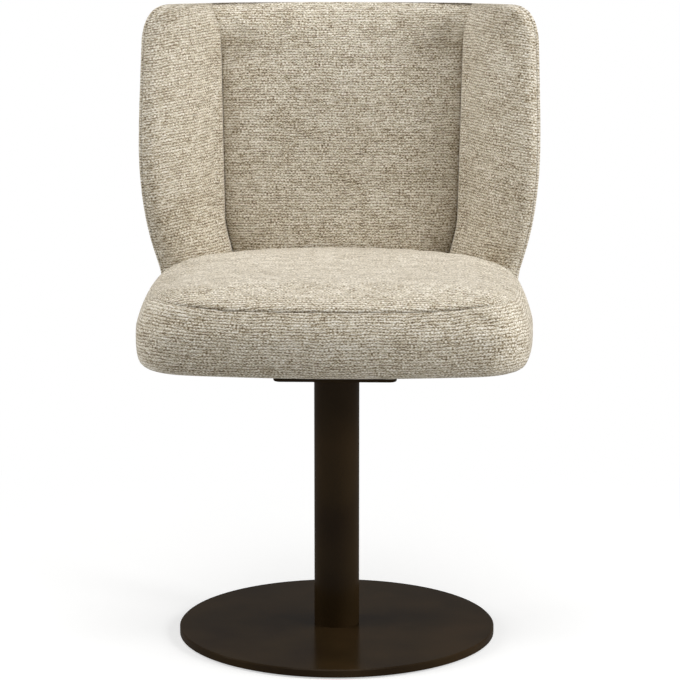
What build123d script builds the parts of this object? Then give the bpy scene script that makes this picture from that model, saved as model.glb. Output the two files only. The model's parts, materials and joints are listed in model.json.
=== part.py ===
"""Swivel dining chair: upholstered seat and wrap-around winged back on a round steel pedestal.

Millimetres. The chair faces -Y and +Z is up. Left and right are as seen from in front: left is -X.
The origin is on the floor, on the column's axis, which is also the swivel axis.
"""
from build123d import *
import os
from math import asin, cos, degrees, radians, sin, sqrt, tan

# ---- Clearances ---------------------------------------------------------------------------------
RUNNING_FIT = 0.05        # radial, between a shaft and its bush, or a thread and its hole
SOFT_GAP = 0.3            # between the seat cushion and the foam that rests on it
SHELL_GAP = 1.0           # between the seat cushion's rear and the back shell
AXIAL_PLAY = 0.3          # between the housing and the retaining washer
NUT_GAP = 0.1             # between a flat nut and the rolled bracket
FASTENER_ROOM = 1.0       # around a nut or a bolt's head in foam, and past a bolt's end
OVERCUT = 1.0             # how far a cut runs out past a face

# ---- Pedestal -----------------------------------------------------------------------------------
PAD_THICKNESS = 2.0
PAD_INSET = 4.0           # the felt's edge, in from the plate's
BASE_DIAMETER = 422.0
BASE_THICKNESS = 10.0
BASE_CHAMFER = 1.5
COLUMN_DIAMETER = 60.0
COLUMN_WALL = 2.5
COLUMN_LENGTH = 350.0
PLUG_HEIGHT = 25.0

# ---- Screws: shank, head and length -------------------------------------------------------------
FOOT_SCREW_COUNT = 3
FOOT_SCREW_CIRCLE = 34.0
FOOT_SCREW_SHANK = 8.0
FOOT_SCREW_HEAD = 15.0
FOOT_SCREW_LENGTH = 28.0
SCREW_HOLE_CLEARANCE = 0.5          # radial, where a screw passes through
PLATE_SCREW_SHANK = 6.0
PLATE_SCREW_HEAD = 10.0
PLATE_SCREW_HEAD_HEIGHT = 4.0
PLATE_SCREW_SPACING = 112.0
PLATE_WASHER_DIAMETER = 16.0
PLATE_WASHER_THICKNESS = 1.6
TEE_NUT_FLANGE = 22.0
TEE_NUT_FLANGE_THICKNESS = 1.5
TEE_NUT_BARREL = 9.0
BRACKET_SCREW_SHANK = 4.5
BRACKET_SCREW_HEAD = 9.0
BRACKET_SCREW_HEAD_HEIGHT = 2.5
BRACKET_SCREW_LENGTH = 13.0
BACK_BOLT_SHANK = 6.0
BACK_BOLT_HEAD = 13.0
BACK_BOLT_HEAD_HEIGHT = 3.0
BACK_NUT_DIAMETER = 12.0
BACK_NUT_HEIGHT = 5.0
BACK_BOLT_TAIL = 1.0                # past the nut

# ---- Swivel bearing -----------------------------------------------------------------------------
SPINDLE_DIAMETER = 25.0
SPINDLE_TAIL = 12.0                 # below the housing
BUSH_WALL = 3.0
BUSH_LENGTH = 20.0
HOUSING_FLANGE = 4.0
HOUSING_DEPTH = 96.0
HOUSING_RELIEF = 27.0               # bore between the two bushes
RACE_DIAMETER = 42.0
RACE_THICKNESS = 3.0
RACE_SPACE = 5.0                    # between the two races
BALL_DIAMETER = 6.0
BALL_COUNT = 12
CAGE_THICKNESS = 2.5
CAGE_EDGE = 3.0                     # cage beyond the balls' circle, past the ball
HUB_DIAMETER = 56.0
HUB_THICKNESS = 6.0
WASHER_DIAMETER = 36.0
WASHER_THICKNESS = 2.0
RING_DIAMETER = 30.0
RING_THICKNESS = 1.2
RING_GROOVE = 1.0                   # depth in the spindle
RING_MOUTH = 11.5

# ---- Swivel plate -------------------------------------------------------------------------------
PLATE_WIDTH = 160.0
PLATE_DEPTH = 31.5                  # height of its walls, web included
PLATE_SHEET = 3.5
PLATE_CORNER = 10.0
PLATE_BEND = 4.0
PLATE_LIP = 2.5                     # rounding of the walls' lower edge

# ---- Seat cushion -------------------------------------------------------------------------------
SEAT_WIDTH = 508.0
SEAT_DEPTH = 453.0
SEAT_FRONT = 238.0                  # front of the cushion, ahead of the column's axis
SEAT_FRONT_RADIUS = 1000.0
SEAT_SIDE_RADIUS = 900.0
SEAT_FRONT_TURN = 11.0              # degrees that the front bows before the corner
SEAT_SIDE_TURN = 8.0                # degrees that the side bows ahead of its widest line
SEAT_REAR_TURN = 4.0                # degrees that it bows behind it
SEAT_HEIGHT = 112.0                 # underside to crown
SEAT_SEAM = 85.0                    # underside to the seam between the two covers
COVER = 1.5                         # fabric and its lining
BOARD_THICKNESS = 15.0
BOARD_INSET = 30.0
DUST_COVER_THICKNESS = 0.8
DUST_COVER_INSET = 62.0
DUST_COVER_GAP = 2.0                # around the swivel plate

# Share of the height and inset from the widest outline: underside to seam, and seam to crown.
SEAT_SIDE = ((0, 22), (0.02, 13), (0.08, 6), (0.18, 2), (0.33, 0), (0.59, 0), (0.7, 2.5), (0.85, 7), (1, 13))
SEAT_CROWN = ((0.3, 20), (0.52, 29), (0.7, 43), (0.85, 66), (0.945, 96), (1, 135))

# ---- Back ---------------------------------------------------------------------------------------
BACK_HEIGHT = 447.0                 # shell's lower edge to the crest
BACK_SHOULDER = 86.0                # height of the plain lower shell that holds the seat's rear
BACK_WAIST = 266.0                  # height where the wings reach furthest forward
BACK_FLARE = 1.5                    # how much more the half width is at the waist than at the seat
BACK_RECLINE = 9.5                  # degrees
FRAME_THICKNESS = 12.0
PADDING = 8.0                       # foam on the shell's outside
FRAME_EDGE = 14.0                   # frame's front edge, behind the wing's face
FRAME_TOP = 32.0                    # frame's top edge, below the crest
FRAME_FOOT = 12.0                   # frame's lower edge, above the shell's
CREST_RADIUS = 26.0                 # rounding of the shell's rear into the crest
CREST_CORNER = 40.0                 # rounding of its sides into the crest
BROW_RADIUS = 15.0                  # rounding of the front side into the crest
HEM_RADIUS = 10.0                   # rounding of the lower edge
WING_DEPTH_LOW = 130.0              # rear of the shell to the wing's nose, beside the seat
WING_DEPTH_WAIST = 184.0
WING_DEPTH_TOP = 175.0
WING_EDGE_LOW = 151.0               # centre to the wing's inner edge, at the seat and at the crest
WING_EDGE_TOP = 165.0
WING_THICKNESS_LOW = 54.0           # shell's outside to the wing's inner edge
WING_THICKNESS_TOP = 45.0
BACK_THICKNESS_LOW = 60.0           # shell's outside to the inner back, on the centre line
BACK_THICKNESS_TOP = 45.0
WING_STEP = 30.0                    # wing's inner edge ahead of the inner back
WING_STEP_TOP = 3.0
WING_CROWN = 12.0                   # bulge of the wing's face
WING_LIP = 0.4                      # share of the step that the inner edge's rounding takes
WING_SEAM = 0.5                     # inner back's panels end this far inside the wings' inner edges
NOSE_RADIUS = 20.0                  # rounding of the wing's outer edge
NOSE_OVERRUN = 4.0                  # how far that rounding runs out past the shell's side
FOAM_FOOT = 88.0                    # lower end of the back's foam, above the shell's lower edge
BACK_STEPS = 9                      # sections between the shoulder and the crest's rounding
HEM_ANGLES = (90, 60, 30)           # degrees round the lower edge, then round the crest
CREST_ANGLES = (0, 15, 35, 55, 72, 90)
BROW_SHARES = (1, 0.5, 0.2, 0)      # shares of the brow's radius below the crest

# ---- Brackets between the seat board and the back shell -----------------------------------------
BRACKET_SPACING = 180.0
BRACKET_WIDTH = 40.0
BRACKET_SHEET = 4.0
BRACKET_TOE = 80.0                  # length on the board, from the shell's inside
BRACKET_RISE = 62.0                 # height on the shell, from the board's top
BRACKET_HOLE_STEP = 24.0

# ---- Heights, from the floor up -----------------------------------------------------------------
base_bottom = PAD_THICKNESS
column_bottom = base_bottom + BASE_THICKNESS
column_top = column_bottom + COLUMN_LENGTH
flange_top = column_top + HOUSING_FLANGE
ball_height = flange_top + RACE_THICKNESS + RACE_SPACE / 2
hub_bottom = flange_top + 2 * RACE_THICKNESS + RACE_SPACE
hub_top = hub_bottom + HUB_THICKNESS
plate_top = hub_top + PLATE_SHEET
plate_bottom = plate_top - PLATE_DEPTH
board_bottom = plate_top
board_top = board_bottom + BOARD_THICKNESS
seat_bottom = board_bottom - COVER
shell_bottom = seat_bottom
crest = shell_bottom + BACK_HEIGHT

# ---- Sizes that follow from the ones above ------------------------------------------------------
tube_bore = COLUMN_DIAMETER - 2 * COLUMN_WALL
plug_diameter = tube_bore - 2 * RUNNING_FIT
bush_bore = SPINDLE_DIAMETER + 2 * RUNNING_FIT
bush_diameter = bush_bore + 2 * BUSH_WALL
ball_circle = (bush_bore + RACE_DIAMETER) / 2
housing_bottom = column_top - HOUSING_DEPTH
washer_top = housing_bottom - AXIAL_PLAY
ring_top = washer_top - WASHER_THICKNESS
spindle_bottom = housing_bottom - SPINDLE_TAIL
shell_wall = COVER + PADDING + FRAME_THICKNESS
reach = SEAT_WIDTH                  # well past the chair on every side

FROM_BELOW = (Align.CENTER, Align.CENTER, Align.MIN)


# ---- Plain round and square pieces --------------------------------------------------------------
def disc(diameter, height, bottom):
    return Pos(0, 0, bottom) * Cylinder(diameter / 2, height, align=FROM_BELOW)


def ring(outer, inner, height, bottom):
    return disc(outer, height, bottom) - disc(inner, height, bottom)


def around(shape, count, diameter):
    """Copies of a shape, evenly spaced on a circle about the column's axis, the first at the rear."""
    return [Rot(0, 0, 360 / count * i) * Pos(0, diameter / 2, 0) * shape for i in range(count)]


def at_corners(shape, spacing):
    """Four copies of a shape at the corners of a square."""
    half = spacing / 2
    return [Pos(x, y, 0) * shape for x in (-half, half) for y in (-half, half)]


def slab(x_range, y_range, z_range):
    """A box between two values on each axis."""
    size = [high - low for low, high in (x_range, y_range, z_range)]
    middle = [(high + low) / 2 for low, high in (x_range, y_range, z_range)]
    return Pos(*middle) * Box(*size)


def group(solids):
    return Compound(children=list(solids))


# ---- Pedestal -----------------------------------------------------------------------------------
def floor_pad():
    return disc(BASE_DIAMETER - 2 * PAD_INSET, PAD_THICKNESS, 0)


def foot_screw(clearance=0.0):
    """Countersunk screw from the plate's underside, or with a clearance, its hole in the plate."""
    shank = FOOT_SCREW_SHANK / 2 + clearance
    head = FOOT_SCREW_HEAD / 2 + clearance
    cone = Cone(head, shank, head - shank, align=FROM_BELOW)
    screw = cone + Cylinder(shank, FOOT_SCREW_LENGTH, align=FROM_BELOW)
    return Pos(0, 0, base_bottom) * screw


def base_plate():
    plate = disc(BASE_DIAMETER, BASE_THICKNESS, base_bottom)
    rim = plate.edges().group_by(Axis.Z)[-1]
    plate = chamfer(rim, BASE_CHAMFER)
    return plate - around(foot_screw(SCREW_HOLE_CLEARANCE), FOOT_SCREW_COUNT, FOOT_SCREW_CIRCLE)


def foot_plug():
    plug = disc(plug_diameter, PLUG_HEIGHT, column_bottom)
    hole = Pos(0, 0, base_bottom) * Cylinder(
        FOOT_SCREW_SHANK / 2 + RUNNING_FIT, FOOT_SCREW_LENGTH + OVERCUT, align=FROM_BELOW)
    return plug - around(hole, FOOT_SCREW_COUNT, FOOT_SCREW_CIRCLE)


def column_tube():
    return ring(COLUMN_DIAMETER, tube_bore, COLUMN_LENGTH, column_bottom)


# ---- Swivel bearing -----------------------------------------------------------------------------
def bearing_housing():
    body = disc(plug_diameter, HOUSING_DEPTH, housing_bottom)
    body += disc(COLUMN_DIAMETER, HOUSING_FLANGE, column_top)
    body -= disc(HOUSING_RELIEF, HOUSING_DEPTH + HOUSING_FLANGE, housing_bottom)
    body -= disc(bush_diameter, BUSH_LENGTH, housing_bottom)
    return body - disc(bush_diameter, BUSH_LENGTH, flange_top - BUSH_LENGTH)


def bush(bottom):
    return ring(bush_diameter, bush_bore, BUSH_LENGTH, bottom)


def race(bottom):
    """Bearing washer with the balls' groove in the face that meets them."""
    groove = Torus(ball_circle / 2, BALL_DIAMETER / 2 + RUNNING_FIT)
    return ring(RACE_DIAMETER, bush_bore, RACE_THICKNESS, bottom) - Pos(0, 0, ball_height) * groove


def bearing_balls():
    return group(around(Pos(0, 0, ball_height) * Sphere(BALL_DIAMETER / 2), BALL_COUNT, ball_circle))


def ball_cage():
    wide = ball_circle + BALL_DIAMETER + CAGE_EDGE / 2
    narrow = bush_bore + CAGE_EDGE / 2
    cage = ring(wide, narrow, CAGE_THICKNESS, ball_height - CAGE_THICKNESS / 2)
    pocket = disc(BALL_DIAMETER + 4 * RUNNING_FIT, CAGE_THICKNESS, ball_height - CAGE_THICKNESS / 2)
    return cage - around(pocket, BALL_COUNT, ball_circle)


def spindle():
    shaft = disc(SPINDLE_DIAMETER, hub_top - spindle_bottom, spindle_bottom)
    groove = ring(SPINDLE_DIAMETER, SPINDLE_DIAMETER - 2 * RING_GROOVE, RING_THICKNESS,
                  ring_top - RING_THICKNESS)
    return shaft - groove


def spindle_hub():
    return ring(HUB_DIAMETER, SPINDLE_DIAMETER, HUB_THICKNESS, hub_bottom)


def retaining_washer():
    return ring(WASHER_DIAMETER, bush_bore, WASHER_THICKNESS, ring_top)


def retaining_ring():
    """Snap ring in the spindle's groove, open at the rear."""
    bore = SPINDLE_DIAMETER - 2 * RING_GROOVE
    bottom = ring_top - RING_THICKNESS
    mouth = slab((-RING_MOUTH / 2, RING_MOUTH / 2), (0, RING_DIAMETER), (bottom, ring_top))
    return ring(RING_DIAMETER, bore, RING_THICKNESS, bottom) - mouth


# ---- Swivel plate and its screws ----------------------------------------------------------------
def swivel_plate():
    """Square pan pressed from sheet, open below, with its lower edge rounded."""
    pan = Pos(0, 0, plate_bottom) * Box(PLATE_WIDTH, PLATE_WIDTH, PLATE_DEPTH, align=FROM_BELOW)
    pan = fillet(pan.edges().filter_by(Axis.Z), PLATE_CORNER)
    pan = fillet(pan.edges().group_by(Axis.Z)[-1], PLATE_BEND)
    pan = fillet(pan.edges().group_by(Axis.Z)[0], PLATE_LIP)
    inside = PLATE_WIDTH - 2 * PLATE_SHEET
    well = Pos(0, 0, plate_bottom) * Box(inside, inside, PLATE_DEPTH - PLATE_SHEET, align=FROM_BELOW)
    well = fillet(well.edges().filter_by(Axis.Z), PLATE_CORNER - PLATE_SHEET)
    hole = disc(PLATE_SCREW_SHANK + 2 * SCREW_HOLE_CLEARANCE, PLATE_SHEET, hub_top)
    return pan - well - at_corners(hole, PLATE_SCREW_SPACING)


def plate_screw():
    head_top = hub_top - PLATE_WASHER_THICKNESS
    shank = disc(PLATE_SCREW_SHANK, board_top - head_top, head_top)
    return shank + disc(PLATE_SCREW_HEAD, PLATE_SCREW_HEAD_HEIGHT, head_top - PLATE_SCREW_HEAD_HEIGHT)


def plate_washer():
    bore = PLATE_SCREW_SHANK + 2 * SCREW_HOLE_CLEARANCE
    return ring(PLATE_WASHER_DIAMETER, bore, PLATE_WASHER_THICKNESS, hub_top - PLATE_WASHER_THICKNESS)


def tee_nut_blank():
    """The tee nut without its thread, which is also its recess in the foam."""
    barrel = disc(TEE_NUT_BARREL, BOARD_THICKNESS, board_bottom)
    return barrel + disc(TEE_NUT_FLANGE, TEE_NUT_FLANGE_THICKNESS, board_top)


def tee_nut():
    """Flanged nut let into the board from above."""
    bore = PLATE_SCREW_SHANK + 2 * RUNNING_FIT
    return tee_nut_blank() - disc(bore, BOARD_THICKNESS + TEE_NUT_FLANGE_THICKNESS, board_bottom)


# ---- Seat outline -------------------------------------------------------------------------------
def rear_arcs(half_width, depth, bow):
    """Radii of a corner arc and a rear arc that follow a bowed side and span the given size."""
    turn = radians(SEAT_REAR_TURN)
    s = sqrt(0.5)
    width_left = half_width - bow * (1 - cos(turn))
    depth_left = depth - bow * sin(turn)
    corner_width = cos(turn) - s
    corner_depth = s - sin(turn)
    corner = (s * depth_left - (1 - s) * width_left) / (s * corner_depth - (1 - s) * corner_width)
    rear = (width_left - corner_width * corner) / s
    return corner, rear


def trace(x, y, arcs):
    """Three points of each arc in a chain. An arc is a radius and the headings where it starts and ends."""
    chain = []
    for radius, start, end in arcs:
        centre_x = x - radius * sin(radians(start))
        centre_y = y + radius * cos(radians(start))
        points = [(centre_x + radius * sin(radians(heading)), centre_y - radius * cos(radians(heading)))
                  for heading in (start, (start + end) / 2, end)]
        chain.append(points)
        x, y = points[-1]
    return chain


def seat_corner():
    """Radius of the front corner that joins the front arc to the side arc at the seat's width."""
    front = radians(SEAT_FRONT_TURN)
    side = radians(SEAT_SIDE_TURN)
    left_over = SEAT_WIDTH / 2 - SEAT_FRONT_RADIUS * sin(front) - SEAT_SIDE_RADIUS * (1 - cos(side))
    return left_over / (cos(side) - sin(front))


def seat_front_depth():
    """Front of the seat to its widest line, along the arcs that lead there."""
    front = radians(SEAT_FRONT_TURN)
    side = radians(SEAT_SIDE_TURN)
    corner = seat_corner() * (cos(front) - sin(side))
    return SEAT_FRONT_RADIUS * (1 - cos(front)) + corner + SEAT_SIDE_RADIUS * sin(side)


seat_widest = seat_front_depth() - SEAT_FRONT          # Y of the widest line
seat_rear = SEAT_DEPTH - SEAT_FRONT


def seat_section(inset, height):
    """The D-shaped outline, drawn in by an inset, as a flat face of eight tangent arcs."""
    scale = 1 - 2 * inset / SEAT_WIDTH
    middle = (seat_rear - SEAT_FRONT) / 2
    turn, bow, tail = SEAT_FRONT_TURN, SEAT_SIDE_TURN, SEAT_REAR_TURN
    corner = seat_corner()
    rear_corner, rear = rear_arcs(SEAT_WIDTH / 2, seat_rear - seat_widest, SEAT_SIDE_RADIUS)
    arcs = ((SEAT_FRONT_RADIUS, -turn, turn), (corner, turn, 90 - bow),
            (SEAT_SIDE_RADIUS, 90 - bow, 90 + tail), (rear_corner, 90 + tail, 135), (rear, 135, 225),
            (rear_corner, 225, 270 - tail), (SEAT_SIDE_RADIUS, 270 - tail, 270 + bow),
            (corner, 270 + bow, 360 - turn))
    x = -SEAT_FRONT_RADIUS * sin(radians(turn))
    y = -SEAT_FRONT + SEAT_FRONT_RADIUS * (1 - cos(radians(turn)))
    edges = []
    for points in trace(x, y, arcs):
        placed = [(px * scale, middle + (py - middle) * scale, height) for px, py in points]
        edges.append(ThreePointArc(*placed))
    return Face(Wire(edges))


def seat_form(inset):
    """The whole cushion, drawn in on every side by an inset, with its crown and rounded lower edge."""
    crown = SEAT_HEIGHT - SEAT_SEAM
    profile = [(share * SEAT_SEAM, edge) for share, edge in SEAT_SIDE]
    profile += [(SEAT_SEAM + share * crown, edge) for share, edge in SEAT_CROWN]
    squeeze = (SEAT_HEIGHT - 2 * inset) / SEAT_HEIGHT
    return loft([seat_section(inset + edge, seat_bottom + inset + height * squeeze)
                 for height, edge in profile], ruled=True)


# ---- Back outline -------------------------------------------------------------------------------
def ease(value):
    """Smooth step from 0 to 1."""
    u = min(max(value, 0), 1)
    return u * u * (3 - 2 * u)


def back_share(height):
    """0 at the seat's crown and 1 at the crest."""
    low = seat_bottom + SEAT_HEIGHT
    return min(max((height - low) / (crest - low), 0), 1)


def shell_rear(height):
    """Y of the shell's outside on the centre line."""
    rise = max(height - shell_bottom - BACK_SHOULDER, 0)
    return seat_rear + SHELL_GAP + shell_wall + rise * tan(radians(BACK_RECLINE))


def shell_half(height):
    waist = ease((height - shell_bottom - BACK_SHOULDER) / (BACK_WAIST - BACK_SHOULDER))
    return SEAT_WIDTH / 2 + SHELL_GAP + shell_wall + BACK_FLARE * waist


shell_depth = seat_rear - seat_widest + SHELL_GAP + shell_wall


def shell_arcs(height, inset=0.0, side_inset=0.0):
    """Half width and the radii of the shell's side, corner and rear arcs at a height."""
    half = shell_half(height) - inset - side_inset
    bow = SEAT_SIDE_RADIUS + SHELL_GAP + shell_wall - inset
    corner, rear = rear_arcs(half, shell_depth - inset, bow)
    return half, bow, corner, rear


def shell_y(height, x):
    """Y of the shell's outside at a distance x from the centre line, on the rear arc."""
    rear = shell_arcs(height)[3]
    return shell_rear(height) - rear + sqrt(rear * rear - x * x)


def shell_x(height, y):
    """Half width of the shell's outside at a given Y, on the corner arc behind the bowed side."""
    half, bow, corner, rear = shell_arcs(height)
    tail = radians(SEAT_REAR_TURN)
    centre_x = half - bow * (1 - cos(tail)) - corner * cos(tail)
    centre_y = shell_rear(height) - shell_depth + (bow - corner) * sin(tail)
    past = y - centre_y
    return centre_x + sqrt(corner * corner - past * past)


def crest_inset(height, inset, radius):
    """Further inset at a height, to round a form that is drawn in by an inset into the crest."""
    small = max(radius - inset, 0)
    into = min(max(height - (crest - radius), 0), small)
    return small - sqrt(small * small - into * into)


def shell_section(height, inset, side_inset=0.0):
    """The shell's outline, filled to the front: straight front and sides, then arcs round the rear."""
    half, bow, corner, rear = shell_arcs(height, inset, side_inset)
    tail = SEAT_REAR_TURN
    widest = shell_rear(height) - shell_depth
    front = -SEAT_FRONT / 2
    arcs = ((bow, 90, 90 + tail), (corner, 90 + tail, 135), (rear, 135, 225),
            (corner, 225, 270 - tail), (bow, 270 - tail, 270))
    edges = [Line((-half, widest, height), (-half, front, height)),
             Line((-half, front, height), (half, front, height)),
             Line((half, front, height), (half, widest, height))]
    for points in trace(half, widest, arcs):
        edges.append(ThreePointArc(*[(x, y, height) for x, y in points]))
    return Face(Wire(edges))


def shell_form(inset, open_below=False):
    """The back, filled to the front, drawn in by an inset. Open below, it runs out past the hem."""
    sections = []
    if open_below:
        sections.append((shell_bottom - HEM_RADIUS, inset))
    else:
        radius = HEM_RADIUS - inset
        for angle in HEM_ANGLES:
            height = shell_bottom + HEM_RADIUS - radius * sin(radians(angle))
            sections.append((height, inset + radius * (1 - cos(radians(angle)))))
    start = shell_bottom + BACK_SHOULDER
    end = crest - CREST_CORNER
    sections.append((shell_bottom + HEM_RADIUS, inset))
    sections.append(((shell_bottom + HEM_RADIUS + start) / 2, inset))
    sections += [(start + (end - start) * i / BACK_STEPS, inset) for i in range(BACK_STEPS)]
    for angle in CREST_ANGLES:
        sections.append((end + (CREST_CORNER - inset) * sin(radians(angle)), inset))
    faces = []
    for height, edge in sections:
        top = crest_inset(height, inset, CREST_RADIUS)
        faces.append(shell_section(height, edge + top, crest_inset(height, inset, CREST_CORNER) - top))
    return loft(faces, ruled=True)


def wing_edge(height):
    """Half width between the wings' inner edges."""
    low = seat_bottom + SEAT_HEIGHT
    return WING_EDGE_LOW + (WING_EDGE_TOP - WING_EDGE_LOW) * (height - low) / (crest - low)


def wing_nose(height):
    """Y of the wing's foremost line."""
    low = shell_bottom + BACK_SHOULDER
    waist = shell_bottom + BACK_WAIST
    if height < waist:
        share = max(height - low, 0) / (waist - low)
        depth = WING_DEPTH_WAIST - (WING_DEPTH_WAIST - WING_DEPTH_LOW) * (1 - share) ** 2
    else:
        share = ease((height - waist) / (crest - waist))
        depth = WING_DEPTH_WAIST + (WING_DEPTH_TOP - WING_DEPTH_WAIST) * share
    return shell_rear(height) - depth


def quarter_round(start, end, corner):
    """Middle point of the quarter round that runs from one side of a corner to the other."""
    chord = ((start[0] + end[0]) / 2, (start[1] + end[1]) / 2)
    share = sqrt(2) - 1
    return chord[0] + share * (corner[0] - chord[0]), chord[1] + share * (corner[1] - chord[1])


def hollow_section(height, grow):
    """What is open in front of the back: the inner back, a step to each wing, its face and its nose."""
    share = back_share(height)
    brow = crest_inset(height, 0, BROW_RADIUS) + grow
    x_edge = wing_edge(height)
    wing_thickness = WING_THICKNESS_LOW + (WING_THICKNESS_TOP - WING_THICKNESS_LOW) * share
    back_thickness = BACK_THICKNESS_LOW + (BACK_THICKNESS_TOP - BACK_THICKNESS_LOW) * share
    step = WING_STEP + (WING_STEP_TOP - WING_STEP) * share ** 3
    y_edge = shell_y(height, x_edge) - wing_thickness
    y_back = shell_rear(height) - back_thickness
    y_nose = wing_nose(height)
    x_side = shell_x(height, y_nose + NOSE_RADIUS / 2) - crest_inset(height, 0, CREST_CORNER)
    soften = step * WING_LIP
    nose = (x_side - NOSE_RADIUS, y_nose + brow)
    flank = (x_side + NOSE_OVERRUN, y_nose + NOSE_RADIUS + NOSE_OVERRUN + brow)
    cap = quarter_round(nose, flank, (flank[0], nose[1]))
    inner = (x_edge + grow + soften, y_edge + brow)
    lip = (x_edge + grow, y_edge + soften + brow)
    lip_bow = quarter_round(inner, lip, (lip[0], inner[1]))
    root = (x_edge + grow, y_edge + step + brow)
    run, rise = inner[0] - nose[0], inner[1] - nose[1]
    length = sqrt(run * run + rise * rise)
    face = ((inner[0] + nose[0]) / 2 - WING_CROWN * rise / length,
            (inner[1] + nose[1]) / 2 + WING_CROWN * run / length)
    right = [(reach, -SEAT_FRONT), (reach, flank[1]), flank, cap, nose, face, inner, lip_bow, lip, root]
    left = [(-px, py) for px, py in reversed(right)]
    p = [(px, py, height) for px, py in right + [(0, y_back + brow)] + left]
    edges = [Line(p[0], p[1]), Line(p[1], p[2]), ThreePointArc(*p[2:5]), ThreePointArc(*p[4:7]),
             ThreePointArc(*p[6:9]), Line(p[8], p[9]), ThreePointArc(*p[9:12]), Line(p[11], p[12]),
             ThreePointArc(*p[12:15]), ThreePointArc(*p[14:17]), ThreePointArc(*p[16:19]),
             Line(p[18], p[19]), Line(p[19], p[20]), Line(p[20], p[0])]
    return Face(Wire(edges))


def hollow_form(grow):
    """The open space in front of the back, grown into it by an amount."""
    start = shell_bottom + BACK_SHOULDER
    end = crest - CREST_CORNER
    heights = [shell_bottom - 2 * HEM_RADIUS, (shell_bottom + start) / 2]
    heights += [start + (end - start) * i / BACK_STEPS for i in range(BACK_STEPS + 1)]
    heights.append(crest - (CREST_RADIUS + BROW_RADIUS) / 2)
    heights += [crest - BROW_RADIUS * share for share in BROW_SHARES]
    heights.append(crest + HEM_RADIUS)
    return loft([hollow_section(height, grow) for height in heights], ruled=True)


def between_wings():
    """The space between the wings' inner edges, as a block through the back."""
    low = shell_bottom - HEM_RADIUS
    high = crest + HEM_RADIUS
    x_low = wing_edge(low) - WING_SEAM
    x_high = wing_edge(high) - WING_SEAM
    points = [(-x_low, low), (x_low, low), (x_high, high), (-x_high, high)]
    outline = Face(Wire.make_polygon([(x, 0, z) for x, z in points], close=True))
    return extrude(outline, amount=2 * SEAT_DEPTH, both=True)


# ---- Build the soft forms once ------------------------------------------------------------------
seat_outside = seat_form(0)
seat_inside = seat_form(COVER)
seat_room = seat_form(-SOFT_GAP)
shell_outside = shell_form(0)
shell_under_cover = shell_form(COVER)
shell_under_padding = shell_form(COVER + PADDING, open_below=True)
shell_core = shell_form(shell_wall, open_below=True)
hollow = hollow_form(0)
hollow_under_cover = hollow_form(COVER)
middle_block = between_wings()
foam_floor = shell_bottom + FOAM_FOOT
above_foam_floor = slab((-reach, reach), (-reach, reach), (foam_floor, crest + HEM_RADIUS))
below_foam_floor = slab((-reach, reach), (-reach, reach), (shell_bottom - HEM_RADIUS, foam_floor))
right_side = slab((0, reach), (-reach, reach), (0, 2 * reach))
left_side = slab((-reach, 0), (-reach, reach), (0, 2 * reach))


# ---- Brackets and their fasteners ---------------------------------------------------------------
def shell_inside_radius():
    """Radius of the lower shell's inside, round the seat's rear."""
    return shell_arcs(shell_bottom, shell_wall)[3]


def bracket_angle():
    """Degrees that the shell's surface turns away from square at a bracket."""
    return degrees(asin(BRACKET_SPACING / 2 / shell_inside_radius()))


def bracket_screw_places():
    shell_inside = shell_y(board_top, BRACKET_SPACING / 2) - shell_wall
    toe = shell_inside - BRACKET_TOE + BRACKET_HOLE_STEP / 2
    return [(x, toe + BRACKET_HOLE_STEP * i) for x in (-BRACKET_SPACING / 2, BRACKET_SPACING / 2)
            for i in range(2)]


def bracket_screw(clearance=0.0):
    top = board_top + BRACKET_SHEET
    shank = disc(BRACKET_SCREW_SHANK + 2 * clearance, BRACKET_SCREW_LENGTH, top - BRACKET_SCREW_LENGTH)
    return shank + disc(BRACKET_SCREW_HEAD, BRACKET_SCREW_HEAD_HEIGHT, top)


def on_shell(shape):
    """Copies of a shape built along +Y from the shell's inside face, at each back bolt's place."""
    rear = shell_inside_radius()
    centre = seat_rear + SHELL_GAP - rear
    low = board_top + BRACKET_RISE - BRACKET_SHEET
    heights = (low - 2 * BACK_BOLT_HEAD, low - BACK_BOLT_HEAD / 2)
    return [Pos(0, centre, z) * Rot(0, 0, side * bracket_angle()) * Pos(0, rear, 0) * shape
            for side in (-1, 1) for z in heights]


def along_y(diameter, start, end):
    """A cylinder along Y between two places, measured from the shell's inside face."""
    return Pos(0, start, 0) * Rot(-90, 0, 0) * Cylinder(diameter / 2, end - start, align=FROM_BELOW)


def back_bolt():
    inner_end = -BRACKET_SHEET - BACK_NUT_HEIGHT - BACK_BOLT_TAIL
    head = along_y(BACK_BOLT_HEAD, FRAME_THICKNESS, FRAME_THICKNESS + BACK_BOLT_HEAD_HEIGHT)
    return head + along_y(BACK_BOLT_SHANK, inner_end, FRAME_THICKNESS)


def bolt_passage():
    """Room for a bolt and its nut: the holes in the shell and the brackets, and the foam's recess."""
    nut_end = -BRACKET_SHEET - BACK_NUT_HEIGHT - BACK_BOLT_TAIL - FASTENER_ROOM
    head_end = FRAME_THICKNESS + BACK_BOLT_HEAD_HEIGHT
    passage = along_y(BACK_BOLT_SHANK + 2 * SCREW_HOLE_CLEARANCE, nut_end, FRAME_THICKNESS + OVERCUT)
    passage += along_y(BACK_NUT_DIAMETER + 2 * FASTENER_ROOM, nut_end, -BRACKET_SHEET)
    return passage + along_y(BACK_BOLT_HEAD + FASTENER_ROOM, FRAME_THICKNESS, head_end)


def back_nut():
    end = -BRACKET_SHEET - NUT_GAP
    start = end - BACK_NUT_HEIGHT
    nut = Pos(0, start, 0) * Rot(-90, 0, 0) * extrude(
        RegularPolygon(BACK_NUT_DIAMETER / 2, 6), amount=BACK_NUT_HEIGHT)
    return nut - along_y(BACK_BOLT_SHANK + 2 * RUNNING_FIT, start, end)


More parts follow.
